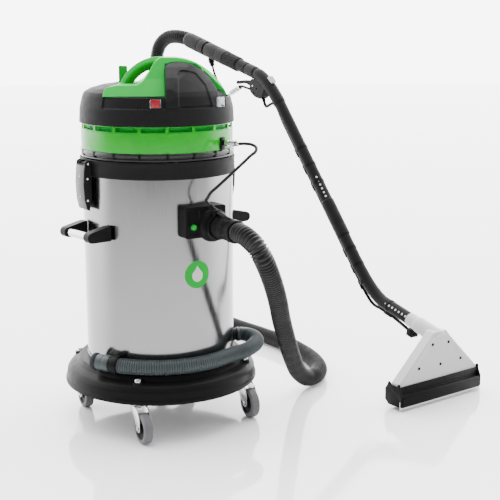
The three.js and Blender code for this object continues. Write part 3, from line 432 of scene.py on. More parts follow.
def sweep(path, section, sides=24):
    """A closed skin along a path. section(i) gives the radius there, or a list of (u, v) points."""
    heading = (path[1] - path[0]).normalized()
    side = heading.orthogonal().normalized()
    points, faces = [], []
    for i, here in enumerate(path):
        ahead = (path[min(i + 1, len(path) - 1)] - path[max(i - 1, 0)]).normalized()
        side = heading.rotation_difference(ahead) @ side
        heading = ahead
        across = heading.cross(side)
        shape = section(i)
        if not isinstance(shape, list):
            shape = arc(0, 0, shape, 0, 360 - 360 / sides, sides - 1)
        points += [here + side * u + across * v for u, v in shape]
    n = len(points) // len(path)
    for ring in range(len(path) - 1):
        a = ring * n
        faces += [[a + j, a + (j + 1) % n, a + n + (j + 1) % n, a + n + j] for j in range(n)]
    faces.append(list(range(n)))
    faces.append(list(range(len(points) - n, len(points))))
    return points, faces


# ---------- solids: joining, cutting and softening ----------
def mesh_of(shape, name="part"):
    mesh = bpy.data.meshes.new(name)
    mesh.from_pydata([tuple(p) for p in shape[0]], [], shape[1])
    skin = bmesh.new()
    skin.from_mesh(mesh)
    bmesh.ops.remove_doubles(skin, verts=skin.verts, dist=1e-4)
    bmesh.ops.dissolve_degenerate(skin, edges=skin.edges, dist=1e-5)
    bmesh.ops.recalc_face_normals(skin, faces=skin.faces)
    skin.to_mesh(mesh)
    skin.free()
    return mesh


def evaluated(shape, modify):
    """The shape after the modifiers that modify() adds to a passing object."""
    host = add_object("host", mesh_of(shape))
    helpers = modify(host) or []
    result = host.evaluated_get(bpy.context.evaluated_depsgraph_get()).to_mesh()
    points = [v.co.copy() for v in result.vertices]
    faces = [list(p.vertices) for p in result.polygons]
    for extra in [host, *helpers]:
        bpy.data.objects.remove(extra)
    if not faces:
        raise ValueError("a join or cut left nothing")
    return points, faces


def solid(operation, first, *others):
    def modify(host):
        tools = []
        for other in others:
            tool = add_object("tool", mesh_of(other))
            modifier = host.modifiers.new("cut", "BOOLEAN")
            modifier.operation = operation
            modifier.solver = "MANIFOLD"
            modifier.object = tool
            tools.append(tool)
        return tools

    return evaluated(first, modify)


def cut(first, *others):
    return solid("DIFFERENCE", first, *others)


def join(first, *others):
    return solid("UNION", first, *others)


def common(first, *others):
    return solid("INTERSECT", first, *others)


def moulded(shape, voxel, passes=3):
    """One even skin over a solid or over overlapping solids, with softened edges, as a moulding has."""

    def modify(host):
        remesh = host.modifiers.new("skin", "REMESH")
        remesh.mode = "VOXEL"
        remesh.voxel_size = voxel
        soften = host.modifiers.new("soften", "SMOOTH")
        soften.factor = 0.5
        soften.iterations = passes

    return evaluated(shape, modify)


BEVEL_OVER = 28


def make(name, shape, look, nodes=(), at=MACHINE, body="machine", bevel=0.0, sharp=38):
    """Turns a shape into a piece that rides on a body and stands for the CAD model's nodes.

    Edges sharper than BEVEL_OVER degrees get the bevel.
    """
    mesh = mesh_of(shape, name)
    mesh.transform(Matrix.Scale(0.001, 4))
    if bevel:
        skin = bmesh.new()
        skin.from_mesh(mesh)
        edges = [
            e for e in skin.edges
            if len(e.link_faces) == 2 and e.calc_face_angle(0) > math.radians(BEVEL_OVER)
        ]
        bmesh.ops.bevel(
            skin, geom=edges, offset=bevel * 0.001, segments=2, profile=0.5,
            affect="EDGES", clamp_overlap=True,
        )
        skin.to_mesh(mesh)
        skin.free()
    mesh.shade_smooth()
    mesh.set_sharp_from_angle(angle=math.radians(sharp))
    piece = add_object(name, mesh)
    piece.matrix_world = at
    material, slot = LOOKS[look]
    mesh.materials.append(material)
    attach(piece, body)
    if nodes:
        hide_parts(*nodes)
    return piece


# ---------- cords ----------
def in_machine(route):
    return [on_machine(*p) for p in route]


def wand_point(s, z):
    """A point of the wand's plane, given in metres, in the machine's frame in metres."""
    heading = math.radians(WAND_HEADING)
    return WAND_X * 0.001 + s * math.cos(heading), WAND_Y * 0.001 + s * math.sin(heading), z


def metres(vector):
    return tuple(c * 0.001 for c in vector)


def at_inlet(x, y, z):
    turned = Matrix.Rotation(math.radians(INLET_ANGLE), 3, "Z") @ Vector((x, y, z))
    return tuple(turned + INLET_OFFSET * 0.001)


def make_cord(name, route, node, look, step, skin, sides=24, **facts):
    """A free cord along a route in metres. skin(distance, length) gives its radius in millimetres."""
    path = smooth([p * 1000 for p in in_machine(route)], step)
    gap = (path[1] - path[0]).length
    shape = sweep(path, lambda i: skin(i * gap, (len(path) - 1) * gap), sides)
    piece = make(name, shape, look, [node], Matrix.Identity(4), sharp=60)


def ribbed(outer, valley, pitch, cuff=0.0):
    """Skin of a corrugated hose: round-topped ribs with narrow valleys."""

    def skin(distance, length):
        if distance < cuff or length - distance < cuff:
            return outer - 0.6
        wave = 0.5 + 0.5 * math.cos(2 * math.pi * distance / pitch)
        return valley + (outer - valley) * wave ** 0.6

    return skin


def beyond_cuff(reach):
    run = Vector(HOSE_END) - Vector(UPPER_CORNER)
    end = (Vector(HOSE_END) + run.normalized() * reach) * 0.001
    return wand_point(end.x, end.y)


def suction_hose():
    route = [
        at_inlet(0.3566, 0, 0.553), at_inlet(0.37, 0, 0.553), (0.204, -0.334, 0.551),
        (0.219, -0.357, 0.541), (0.231, -0.37, 0.528), (0.242, -0.373, 0.509), (0.253, -0.362, 0.486),
        (0.269, -0.33, 0.446), (0.284, -0.29, 0.403), (0.298, -0.245, 0.356), (0.312, -0.19, 0.301),
        (0.337, -0.11, 0.219), (0.366, -0.012, 0.134), (0.396, 0.073, 0.066), (0.428, 0.122, 0.032),
        (0.458, 0.158, 0.027), (0.478, 0.22, 0.026), (0.474, 0.31, 0.026), (0.446, 0.41, 0.026),
        (0.406, 0.5, 0.026), (0.336, 0.611, 0.026), (0.262, 0.717, 0.026), (0.19, 0.84, 0.026),
        (0.13, 0.96, 0.026), (0.08, 1.07, 0.028), (0.04, 1.16, 0.048), (0.012, 1.22, 0.105),
        (0, 1.247, 0.2), (-0.002, 1.252, 0.4), (-0.002, 1.252, 0.6), (-0.002, 1.25, 0.76),
        (-0.001, 1.243, 0.86), (0.002, 1.228, 0.93), (0.015, 1.204, 0.98), (0.042, 1.17, 1.008),
        (0.078, 1.128, 1.014), beyond_cuff(22), beyond_cuff(0.6),
    ]
    make_cord(
        "suction_hose_ribbed", route, "suction_hose", "hose", 1.1, ribbed(25, 20.6, 9, 6), 28,
        length=3.15, diameter=0.05, far_end="object", stiffness="medium", lay="loose",
    )


def drain_hose():
    heading = math.radians(CAP_ANGLE)

    def before_cap(reach):
        onward = Vector((-math.sin(heading), math.cos(heading), 0))
        return polar(DRAIN_RUN_R, CAP_ANGLE, DRAIN_Z) + onward * reach

    route = [
        metres(polar(214.6, OUTLET_ANGLE, OUTLET_Z)), metres(polar(226, OUTLET_ANGLE, OUTLET_Z)),
        (0.243, 0.03, 0.1955), (0.258, 0.012, 0.194), (0.264, -0.014, 0.1925), (0.259, -0.041, 0.191),
        (0.246, -0.068, 0.19), (0.229, -0.092, 0.189), metres(polar(232, -30, 188.5)),
        *[metres(polar(DRAIN_RUN_R, angle, DRAIN_Z)) for angle in range(-40, -111, -10)],
        metres(before_cap(20)), metres(before_cap(0.3)),
    ]
    make_cord(
        "drain_hose_ribbed", route, "drain_hose", "drain", 1.0, ribbed(20.5, 17.6, 6, 5), 28,
        length=0.57, diameter=0.041, far_end="fitting", stiffness="medium", lay="loose",
        with_pieces=["drain_cap_collar", "drain_cap_body", "drain_cap_grip"],
    )


def solution_lead():
    """From the pump's coupler on the tank ring down to the port on the hose inlet."""
    route = [
        metres(polar(253.3, COUPLER_ANGLE, COUPLER_Z)), metres(polar(272, COUPLER_ANGLE, COUPLER_Z + 1)),
        (0.237, -0.168, 0.752), (0.247, -0.178, 0.746), (0.245, -0.188, 0.737), (0.231, -0.198, 0.727),
        (0.214, -0.208, 0.713), (0.198, -0.217, 0.7), (0.17, -0.227, 0.676), (0.147, -0.232, 0.656),
        (0.129, -0.232, 0.64), (0.121, -0.227, 0.626), at_inlet(0.25, -0.0269, 0.6192),
        at_inlet(0.2544, -0.0199, 0.6084),
    ]
    make_cord(
        "solution_lead_tube", route[::-1], "solution_lead", "hose", 2.5, lambda d, n: 4, 18,
        length=0.27, diameter=0.008, far_end="connector", stiffness="medium", lay="hanging",
        with_pieces=["tank_coupler", "tank_coupler_collar"],
    )


def wand_lead():
    """From the ring on the wand where it leaves the hose, down to the valve's coupler."""
    route = [
        wand_point(s, z) for s, z in [
            (1.1467, 0.9132), (1.139, 0.895), (1.125, 0.872), (1.111, 0.85), (1.098, 0.831), (1.086, 0.817),
            (1.072, 0.81), (1.058, 0.812), (1.0442, 0.8178),
        ]
    ]
    make_cord(
        "wand_lead_tube", route, "wand_lead", "hose", 2.5, lambda d, n: 4, 18,
        length=0.155, diameter=0.008, far_end="connector", stiffness="medium", lay="hanging",
        with_pieces=["valve_coupler", "valve_coupler_collar"],
    )


suction_hose()
drain_hose()
solution_lead()
wand_lead()


# ---------- trolley ----------
def base_dish():
    dish = turned([
        (0, SEAT_Z), (222, SEAT_Z, 4), (230, 153, 14), (248, 143, 20), (257, 131, 16), (259, 112, 2),
        (262, 107, 2), (262, 99, 1.5), (255, 99, 1), (251, 110, 3), (251, 131, 6), (224, 145, 6),
        (216, 159, 3), (0, 159),
    ], 144, 5, False)
    spots = [polar(CASTER_RING, angle) for angle in CASTER_ANGLES]
    up = Vector((0, 0, 1))
    pads = [rod(14.5, p + up * 108, p + up * 152, 40, 1.5) for p in spots]
    wells = [rod(12.8, p + up * 152, p + up * 185, 40) for p in spots]
    bores = [rod(6.9, p + up * 90, p + up * 190, 24) for p in spots]
    make("trolley_dish", cut(join(dish, *pads), *wells, *bores), "black", ["base_dish"])


def hexagon(across, low, high, edge=0.6):
    corners = [(across / 1.732 * math.cos(math.pi * k / 3), across / 1.732 * math.sin(math.pi * k / 3))
               for k in range(6)]
    return slab(rounded(corners, 2, edge), low, high, "xy")


def caster(index, angle):
    label = f"caster_{index + 1}"
    spot = polar(CASTER_RING, angle)
    at = place(TRAIL_HEADING, spot.x, spot.y)
    stem = turned([
        (0, 84), (8.5, 84, 2), (8.5, 87.4, 1), (5, 87.4), (5, 101.5), (16, 101.5, 1), (16, 106, 1),
        (6, 106), (6, 152.3), (9.5, 152.3, 0.6), (9.5, 155.5, 0.8), (8.6, 156.6, 1), (7.5, 161.5, 4),
        (0, 163.6),
    ], 40, 4, False)
    make(f"{label}_bolt", stem, "bright", [f"{label}_stem"], at)
    outline = rounded([
        (-15, 92, 1), (-15, 82, 4), (6, 50, 18), *arc(TRAIL, WHEEL_R, 10.5, 190, 360, 12), (45, 66, 12),
        (32, 84, 8), (18, 92, 1),
    ], 5)
    sides = [slab(outline, 14, 16.5), slab(outline, -16.5, -14)]
    bridge = block((-15, -16.5, 89), (16, 16.5, 92), 2)
    race = turned([(6.4, 91), (16, 91, 1), (16.6, 96, 2.5), (16, 101.2, 1), (6.4, 101.2)], 48, 4)
    swivel, roll = f"{label}_swivel", f"{label}_roll"
    make(f"{label}_yoke", merge(*sides, bridge, race), "bright", [f"{label}_fork"], at, swivel, bevel=0.5)
    axle = merge(
        rod(4, (TRAIL, -18.5, WHEEL_R), (TRAIL, 18.5, WHEEL_R), 24),
        *[moved(hexagon(11, 16.6, 19.6), shift(TRAIL, 0, WHEEL_R) @ turn(side, "X")) for side in (-90, 90)],
    )
    make(f"{label}_axle", axle, "bright", at=at, body=swivel, bevel=0.3)
    wheel = shift(TRAIL, 0, WHEEL_R) @ turn(-90, "X")
    tread = turned([
        (29.5, -12), (34, -12.5, 2), (WHEEL_R, -10, 4), (WHEEL_R, 10, 4), (34, 12.5, 2), (29.5, 12),
    ], 72, 5)
    make(f"{label}_tyre", moved(tread, wheel), "tyre", [f"{label}_wheel"], at, roll)
    hub = turned([
        (4.5, -12, 0.5), (12.5, -12, 1.5), (14, -8, 2), (26, -8, 2), (30, -11.5, 1), (30, 11.5, 1),
        (26, 8, 2), (14, 8, 2), (12.5, 12, 1.5), (4.5, 12, 0.5),
    ], 72, 4)
    make(f"{label}_hub", moved(hub, wheel), "black", [f"{label}_wheel"], at, roll)


base_dish()
for index, angle in enumerate(CASTER_ANGLES):
    caster(index, angle)


# ---------- drum ----------
def drum():
    foot = SEAT_Z + 0.3
    vessel = turned([
        (0, foot), (198, foot, 4), (DRUM_R, foot + 3, 2), (DRUM_R, DRUM_TOP, 0.5),
        (DRUM_R - 2, DRUM_TOP, 0.5), (DRUM_R - 2, foot + 6, 6), (DRUM_R - 8, foot + 2, 4), (0, foot + 2),
    ], 180, 5, False)
    inlet = moved(rod(26, (150, INLET_SIDE, INLET_Z), (250, INLET_SIDE, INLET_Z), 48), turn(INLET_ANGLE))
    outlet = moved(rod(17, (150, 0, OUTLET_Z), (250, 0, OUTLET_Z), 40), turn(OUTLET_ANGLE))
    make("drum_vessel", cut(vessel, inlet, outlet), "steel", ["drum"])
    bead = lathe([(DRUM_R - 0.3, 0), (DRUM_R + 0.9, 0.6), (DRUM_R + 0.9, 1.6), (DRUM_R - 0.3, 2.2)], 180)
    seam = merge(
        rod(1.1, polar(DRUM_R + 0.1, 96, SEAT_Z + 12), polar(DRUM_R + 0.1, 96, BAND_FOOT - 1), 10, 0.5),
        moved(bead, shift(z=SEAT_Z + 9)),
    )
    make("drum_seams", seam, "steel")


def decal(rows, angle, z, radius, thick):
    """A thin label wrapped round the drum. rows lists its (height, half width) pairs."""
    columns = 14
    points = []
    for r in (radius, radius + thick):
        for height, half in rows:
            for k in range(columns + 1):
                along_arc = half * (2 * k / columns - 1)
                points.append(polar(r, angle + math.degrees(along_arc / radius), z + height))
    wide = columns + 1
    count = len(rows) * wide
    quads = [[i * wide + k, i * wide + k + 1, (i + 1) * wide + k + 1, (i + 1) * wide + k]
             for i in range(len(rows) - 1) for k in range(columns)]
    faces = quads + [[p + count for p in quad] for quad in quads]
    rim = [k for k in range(wide)]
    rim += [i * wide + columns for i in range(1, len(rows))]
    rim += [(len(rows) - 1) * wide + k for k in reversed(range(columns))]
    rim += [i * wide for i in reversed(range(1, len(rows) - 1))]
    faces += [[a, b, b + count, a + count] for a, b in zip(rim, rim[1:] + rim[:1])]
    return points, faces


def emblem():
    """A plain green roundel with a pale droplet in it."""
    disc = [(36 * math.sin(a), max(0.4, 36 * math.cos(a)))
            for a in [math.radians(-90 + 180 * i / 24) for i in range(25)]]
    drop = [(-18 + 17 * (1 - math.cos(a)), max(0.3, 15.5 * math.sin(a)))
            for a in [math.radians(110 * i / 14) for i in range(15)]]
    tip_z, tip_half = drop[-1]
    taper = (0.2, 0.4, 0.6, 0.8, 1)
    drop += [(tip_z + (24 - tip_z) * t, max(0.3, tip_half * (1 - t) ** 1.15)) for t in taper]
    make("drum_roundel", decal(disc, EMBLEM_ANGLE, 420, DRUM_R + 0.05, 0.35), "green")
    make("drum_droplet", decal(drop, EMBLEM_ANGLE, 419, DRUM_R + 0.3, 0.4), "white")


LATCH_X, LATCH_Z = 214, 702
LATCH_ANGLES = {"left": 208, "right": 28}


def band():
    ring = turned([
        (DRUM_R + 0.2, BAND_FOOT), (204, BAND_FOOT, 1), (205, BAND_FOOT + 4, 2), (204.6, BAND_FOOT + 9, 1),
        (204.6, DRUM_TOP - 10, 1), (205.4, DRUM_TOP - 7, 1.5), (205.4, DRUM_TOP, 1.5),
        (DRUM_R + 0.2, DRUM_TOP),
    ], 180, 4)
    ear = rounded([(201, 691), *arc(LATCH_X, LATCH_Z, 6.5, -75, 75, 10), (201, 709)], 4)
    brackets = []
    for angle in LATCH_ANGLES.values():
        bracket = merge(
            slab(ear, 14, 20), slab(ear, -20, -14), block((201, -22, 685), (206.5, 22, 709), 2),
            rod(3, (LATCH_X, -27, LATCH_Z), (LATCH_X, 27, LATCH_Z), 24, 0.5),
        )
        brackets.append(moved(bracket, turn(angle)))
    make("drum_collar", merge(ring, *brackets), "head_black", ["drum_band"], bevel=0.4)


def latch(side, angle):
    """An over-centre latch: a curved strap with two cheeks, its smooth facing, rivets and pins."""
    body, at = f"latch_{side[0]}", place(angle)
    outer = rounded([
        (206.5, 616, 3), *arc(LATCH_X, LATCH_Z, 8.5, 180, 20, 12), (225, 682, 6), (227, 650, 20),
        (225, 610, 12), (219, 584, 3), (213, 580, 2),
    ], 5)
    inner = [
        (190, 570), (190, 735), (LATCH_X - 12, 735), *arc(LATCH_X, LATCH_Z, 9.2, 90, 20, 6), (221.5, 682),
        (223.5, 650), (221.5, 610), (214, 570),
    ]
    pin_hole = rod(3.7, (LATCH_X, -50, LATCH_Z), (LATCH_X, 50, LATCH_Z), 24)
    strap = cut(slab(outer, -27, 27), slab(inner, -23.5, 23.5), pin_hole)
    make(f"latch_{side}_strap", strap, "head_black", [f"latch_{side}"], at, body, bevel=0.7)
    facing = slab(rounded([
        (219.6, 584), (225.7, 610, 12), (227.9, 650, 20), (225.7, 684, 8), (223.2, 697, 1), (222.2, 696),
        (224.4, 682), (226.4, 650, 20), (224.4, 610), (218.6, 585),
    ], 6), -24.5, 24.5)
    make(f"latch_{side}_facing", facing, "strap", at=at, body=body, bevel=0.3)
    rivets = merge(*[
        rod(2, (x, 0, z), (x + 2, 0, z), 16, 0.8) for x, z in ((226.2, 668), (225.4, 615))
    ])
    pins = merge(*[
        rod(3.2, (x, end * 26, z), (x, end * 28.4, z), 20, 0.9)
        for x, z in ((217, 664), (218, 608), (LATCH_X, LATCH_Z)) for end in (1, -1)
    ])
    make(f"latch_{side}_rivets", merge(rivets, pins), "bright", at=at, body=body)


drum()
emblem()
band()
for side_name, side_angle in LATCH_ANGLES.items():
    latch(side_name, side_angle)


# ---------- side handles ----------
def side_handle(side, angle):
    at = place(angle)
    outline = rounded([
        (196, 510, 1), *arc(251, 523.5, 13.5, -90, 70, 12), (206, 547, 10), (196, 548, 1),
    ], 5)
    drum_space = rod(DRUM_R + 0.2, (0, 0, 490), (0, 0, 600), 180)
    for end, letter in ((1, "a"), (-1, "b")):
        low, high = sorted((end * 44, end * 70))
        arm = moulded(cut(slab(outline, low, high), drum_space), 1.0, 8)
        make(f"handle_{side}_bracket_{letter}", arm, "black", [f"handle_{side}_arm_{letter}"], at)
    bar = rod(10, (250, -53, 523.5), (250, 53, 523.5), 48, 0.5)
    make(f"handle_{side}_rail", bar, "bright", [f"handle_{side}_bar"], at)


side_handle("left", 215)
side_handle("right", 35)


# ---------- suction inlet ----------
def socket_ribs():
    ribs = []
    for k in range(16):
        tilt = turn(22.5 * k, "X")
        rib = slab([(239, 30), (268, 28.4), (268, 31), (239, 35.4)], -0.9, 0.9, "xz")
        ribs.append(moved(rib, shift(z=INLET_Z) @ tilt))
    return ribs


def inlet():
    face = rounded([(-79, 523, 8), (37, 523, 7), (37, 603, 7), (-79, 603, 8)], 5)
    drum_space = rod(DRUM_R + 0.2, (0, -INLET_SIDE, 500), (0, -INLET_SIDE, 620), 180)
    bore = rod(23.4, (150, 0, INLET_Z), (300, 0, INLET_Z), 48)
    button_hole = rod(7.6, (226, BUTTON_Y, BUTTON_Z), (250, BUTTON_Y, BUTTON_Z), 32)
    tray_outline = rounded([(-70, 532), (-40, 532), (-40, 594), (-70, 594)], 5, 5)
    tray = slab(tray_outline, 236.6, 245, "yz")
    flange = cut(slab(face, 170, 238, "yz"), drum_space, tray)
    collar = rod(9.6, (233, BUTTON_Y, BUTTON_Z), (239.6, BUTTON_Y, BUTTON_Z), 40, 1)
    shoulder = moved(turned([
        (0, 232), (44, 232), (42, 243, 6), (36, 249, 6), (34, 254), (0, 254),
    ], 72, 5), level(INLET_Z))
    socket = moved(turned([
        (23.4, 234), (37, 234), (37, 240, 2), (35, 243, 1), (31.6, 268, 1), (33, 269, 0.8), (33, 272, 1),
        (29.4, 272, 0.8), (29.4, 262), (23.4, 262),
    ], 72, 4), level(INLET_Z))
    port = merge(
        block((251, -17, 577), (273, 3, 596), 5),
        rod(6.8, (262, -8, 590), (255.2, -18.7, 606.6), 28, 1),
        rod(9, (263, -6.4, 587), (259.2, -12.4, 596.6), 28, 1.5),
    )
    body = moulded(cut(join(flange, collar, shoulder), bore, button_hole), 1.2, 3)
    make("inlet_block", body, "black", ["inlet_flange"], INLET)
    make("inlet_socket", merge(socket, *socket_ribs()), "black", ["inlet_flange"], INLET)
    make("inlet_port", moulded(port, 0.9, 2), "black", ["inlet_flange"], INLET)
    screws = merge(*[
        rod(3.6, (236.4, y, z), (238.8, y, z), 24, 0.8) for y, z in ((-32, 594), (-32, 532), (30, 596))
    ])
    make("inlet_screws", screws, "black", at=INLET)
    button = rod(7, (231, BUTTON_Y, BUTTON_Z), (244.3, BUTTON_Y, BUTTON_Z), 40, 1.8)
    make("inlet_button", button, "green", ["release_button"], INLET, "inlet_release")


def inlet_cuff():
    """The soft cuff at the hose's end, with its grip rings, and the lead that runs into the hose."""
    rings = []
    for x in (294, 301, 308, 315):
        rings += [(26, x), (27.2, x + 1.5, 1), (27.2, x + 3.5, 1), (26.1, x + 5)]
    profile = rounded([
        (19, 248), (22.5, 248), (22.5, 272.4), (28.5, 272.4, 1), (28.5, 280, 1), (26, 282, 1), *rings,
        (26.6, 324, 1), (27.4, 332, 1), (29, 334, 1.5), (29, 354, 2.5), (27, 356, 1), (19, 356),
    ], 4)
    sleeve = moved(lathe(profile, 72), level(INLET_Z))
    arm_route = [(270, -6, 590), (280, -3, 588), (292, 0, 584), (306, 1, 580), (322, 1, 578)]
    arm = sweep(smooth(arm_route, 3), lambda i: 5.2, 16)
    make("inlet_cuff_sleeve", sleeve, "black", ["inlet_cuff"], INLET, "inlet_swivel")
    make("inlet_cuff_cable", arm, "hose", at=INLET)


inlet()
inlet_cuff()


# ---------- drain ----------
def drain_fittings():
    at = place(OUTLET_ANGLE)
    spout = moved(turned([
        (13, 191), (16.5, 191), (19, 196), (22, 198.5, 1), (22, 204, 1.5), (16.8, 205, 0.5),
        (16.8, 213.8, 0.6), (13, 213.8),
    ], 56, 4), level(OUTLET_Z))
    make("drain_spout", spout, "black", ["drain_outlet"], at)
    clip_at = place(CLIP_ANGLE - 90, *polar(DRAIN_RUN_R, CLIP_ANGLE)[:2])
    ring = moved(turned([(21.6, -9, 0.6), (24.6, -9, 1), (24.6, 9, 1), (21.6, 9, 0.6)], 64, 3),
                 level(DRAIN_Z))
    dish_space = block((-60, -60, 100), (60, 60, SEAT_Z + 0.3))
    drum_space = moved(rod(DRUM_R + 0.3, (0, 0, 100), (0, 0, 300), 180), shift(y=-DRAIN_RUN_R))
    clip = cut(ring, dish_space, drum_space)
    foot = block((-8, -14, SEAT_Z + 0.3), (8, -7, SEAT_Z + 3), 2)
    make("drain_clip", merge(clip, foot), "black", ["hose_clip"], clip_at, bevel=0.4)
    cap_at = place(CAP_ANGLE - 90, *polar(DRAIN_RUN_R, CAP_ANGLE)[:2])
    collar = turned([(0, 0.3), (20.5, 0.3, 0.6), (20.5, 8, 0.6), (0, 8)], 64, 3, False)
    body = turned([
        (0, 8), (21.2, 8, 1), (21.6, 20, 0.4), (21.2, 26.4, 0.4), (20.6, 27, 0.3), (21.2, 27.8, 0.4),
        (21.5, 46, 1.2), (0, 46),
    ], 64, 3, False)
    grip = turned([
        (0, 46), (20.5, 46.2, 0.6), (20.5, 50, 0.5), (22.4, 51, 1), (22.4, 61, 1.5), (20, 63, 1),
        (8, 63, 3), (6, 57, 3), (0, 56),
    ], 64, 4, False)
    knurl = merge(*[
        moved(rod(0.9, (22.2, 0, 52), (22.2, 0, 60.6), 8, 0.4), turn(7.5 * k)) for k in range(48)
    ])
    parts = (("collar", collar, "black"), ("body", body, "drain"), ("grip", merge(grip, knurl), "drain_dark"))
    for part, shape, look in parts:
        make(f"drain_cap_{part}", moved(shape, level(DRAIN_Z)), look, ["drain_cap"], cap_at, "drain_stopper")


drain_fittings()


# ---------- head: plate, tank ring and what is inside ----------
FLOAT_X = -70
LUG_ANGLE, LUG_STEP = -83, 20  # the lugs under the tank ring and the posts between its windows


def head_plate():
    plate = turned([
        (0, 713), (201.5, 713, 0.8), (203, 714.5, 0.8), (203, 718, 1), (198.5, 719.5, 1), (198.5, 722, 1),
        (202.6, 723.5, 1), (202.6, 729, 1), (200.5, 733, 0.8), (194, 733, 0.5), (194, 718, 2), (0, 718),
    ], 180, 4, False)
    intake = rod(22, (FLOAT_X, 0, 690), (FLOAT_X, 0, 740), 40)
    lug = block((197, -3.6, 720), (203.4, 3.6, 732.6), 0.8)
    lugs = merge(*[moved(lug, turn(LUG_ANGLE + LUG_STEP * k)) for k in range(18)])
    make("head_floor", cut(plate, intake), "smoke", ["head_plate"], body="head")
    make("head_floor_lugs", lugs, "black", body="head")


def tank():
    wall = turned([
        (152, RING_FOOT), (199.7, RING_FOOT, 0.6), (200.7, RING_FOOT + 2, 0.8), (200.7, RING_TOP, 0.6),
        (199, RING_TOP + 1, 0.4), (199, VENT_TOP, 0.4), (190, VENT_TOP, 0.4), (190, 798), (196.7, 780, 1),
        (196.7, RING_FOOT + 4, 2), (156, RING_FOOT + 4, 2), (156, RING_TOP, 0.6), (152, RING_TOP, 0.6),
    ], 180, 4)
    half = 195 * math.tan(math.radians(LUG_STEP / 2)) - 4
    windows = []
    for start, reach in ((0.5, 150), (1.5, 170)):
        slot = block((reach, -half, RING_TOP + 3), (230, half, VENT_TOP - 2.2), 2)
        windows += [moved(slot, turn(LUG_ANGLE + LUG_STEP * (2 * k + start))) for k in range(9)]
    make("solution_tank", cut(wall, *windows), "tank", ["tank_ring"], body="head")
    baffle = turned([(183, 784), (186, 784, 0.8), (186, 799.5, 0.8), (183, 799.5)], 144, 3)
    make("vent_baffle", baffle, "green", body="head")


def machinery():
    can = turned([
        (0, 752), (78, 752, 2), (80, 756, 2), (80, 800, 4), (68, 806, 3), (66, 844, 6), (58, 852, 4),
        (0, 856),
    ], 72, 4, False)
    fins = merge(*[
        moved(block((64, -1.5, 810), (69.5, 1.5, 840), 1), turn(15 * k)) for k in range(24)
    ])
    make("motor_casing", merge(can, fins), "motor", ["motor"], body="head")
    disc = turned([
        (0, 731), (72, 731, 0.5), (72, 733, 0.5), (18, 733.4, 2), (18, 751.5), (0, 751.5),
    ], 72, 3, False)
    rim = lathe([(60, 743.5), (72, 742.5), (72, 745), (24, 748.4), (24, 747)], 72)
    vanes = []
    for k in range(9):
        line = [Vector((20 + 5.1 * i, 0, 0)) for i in range(11)]
        bent = [Matrix.Rotation(-0.055 * i, 3, "Z") @ p for i, p in enumerate(line)]
        outline = [(p.x, p.y - 0.8) for p in bent] + [(p.x, p.y + 0.8) for p in reversed(bent)]
        vanes.append(moved(slab(outline, 732, 744.5, "xy"), turn(40 * k)))
    make("suction_fan", merge(disc, rim, *vanes), "steel", ["fan"], body="fan_rotor")
    basket = turned([
        (12, 628), (26, 628, 3), (26, 712.6, 0.6), (23, 712.6, 0.6), (23, 631, 2), (12, 631),
    ], 48, 4)
    slots = [moved(block((-40, -5, 638), (40, 5, 702), 2), turn(60 * k)) for k in range(3)]
    make("float_basket", moved(cut(basket, *slots), shift(FLOAT_X)), "black", ["float_cage"], body="head")
    lift = 631 + math.sqrt(19 ** 2 - 12 ** 2)
    half_turn = [math.radians(a) for a in range(0, 181, 6)]
    sphere = lathe([(18.5 * math.sin(a), lift - 18.5 * math.cos(a)) for a in half_turn], 48)
    seam = moved(turned([(18.2, -0.6), (18.8, -0.6, 0.2), (18.8, 0.6, 0.2), (18.2, 0.6)], 48, 2),
                 shift(z=lift))
    make("float_shell", moved(merge(sphere, seam), shift(FLOAT_X)), "red", ["float_ball"], body="float")
    pump = merge(
        block((-146, -28, 742), (-96, 28, 778), 5),
        rod(22, (-121, -50, 760), (-121, 48, 760), 48, 2),
        *[rod(23.5, (-121, y, 760), (-121, y + 4, 760), 48, 0.6) for y in (-40, 34)],
    )
    make("pump_casing", pump, "motor", ["solution_pump"], body="head", bevel=0.5)


head_plate()
tank()
machinery()

# ---------- head: housing and green cover ----------
HOOD_START = 22
ARCH_X, ARCH_Z, ARCH_R = 40, 813, 153
SECTION = [(194, 838, 1), (150, 876, 10), (108, 914, 10), (76, 955, 12), (60, 975, 4)]
FLANK = [
    (203, 838, 1), (197, 862, 12), (180, 891, 16), (150, 918, 16), (110, 943, 16), (76, 960, 8), (60, 975, 4),
]
BAND_HALF = 78
PANEL_X, PANEL_Z, PANEL_R = 55, 850, 104.5


def hood_section(drop=0.0, section=SECTION):
    """The hood seen from its end: a flat crown with sloping flanks, mirrored."""
    right = [(y - drop * 0.4, z - drop, r) for y, z, r in section]
    left = [(-y, z, r) for y, z, r in reversed(right)]
    return rounded([(220 - drop, 700), (220 - drop, 838 - drop), *right, *left, (drop - 220, 838 - drop),
                    (drop - 220, 700)], 6)


def dome(inset=0.0):
    return turned([
        (0, 700), (206 - inset, 700), (206 - inset, 838, 6), (198 - inset, 872, 8), (191 - inset, 884, 10),
        (168 - inset, 910, 20), (120, 962 - inset, 25), (60, 990 - inset, 20), (0, 995 - inset),
    ], 144, 5, False)


def arch(radius, start):
    side = [(start, 700), *arc(ARCH_X, ARCH_Z, radius, -10, 90, 40), (start, ARCH_Z + radius)]
    return slab(side, -210, 210)


def side_panel(inset=0.0):
    """The dark flank's outline seen from the side, pushed across the whole head."""
    start = HOOD_START + 0.3
    reach = PANEL_R - inset
    top = PANEL_Z + math.sqrt(reach ** 2 - (PANEL_X - start) ** 2)
    side = rounded([(start, 700), (PANEL_X + reach, 700), *arc(PANEL_X, PANEL_Z, reach, 0, 100, 40),
                    (start, top - 3, 26)], 8)
    return slab(side, -210, 210)


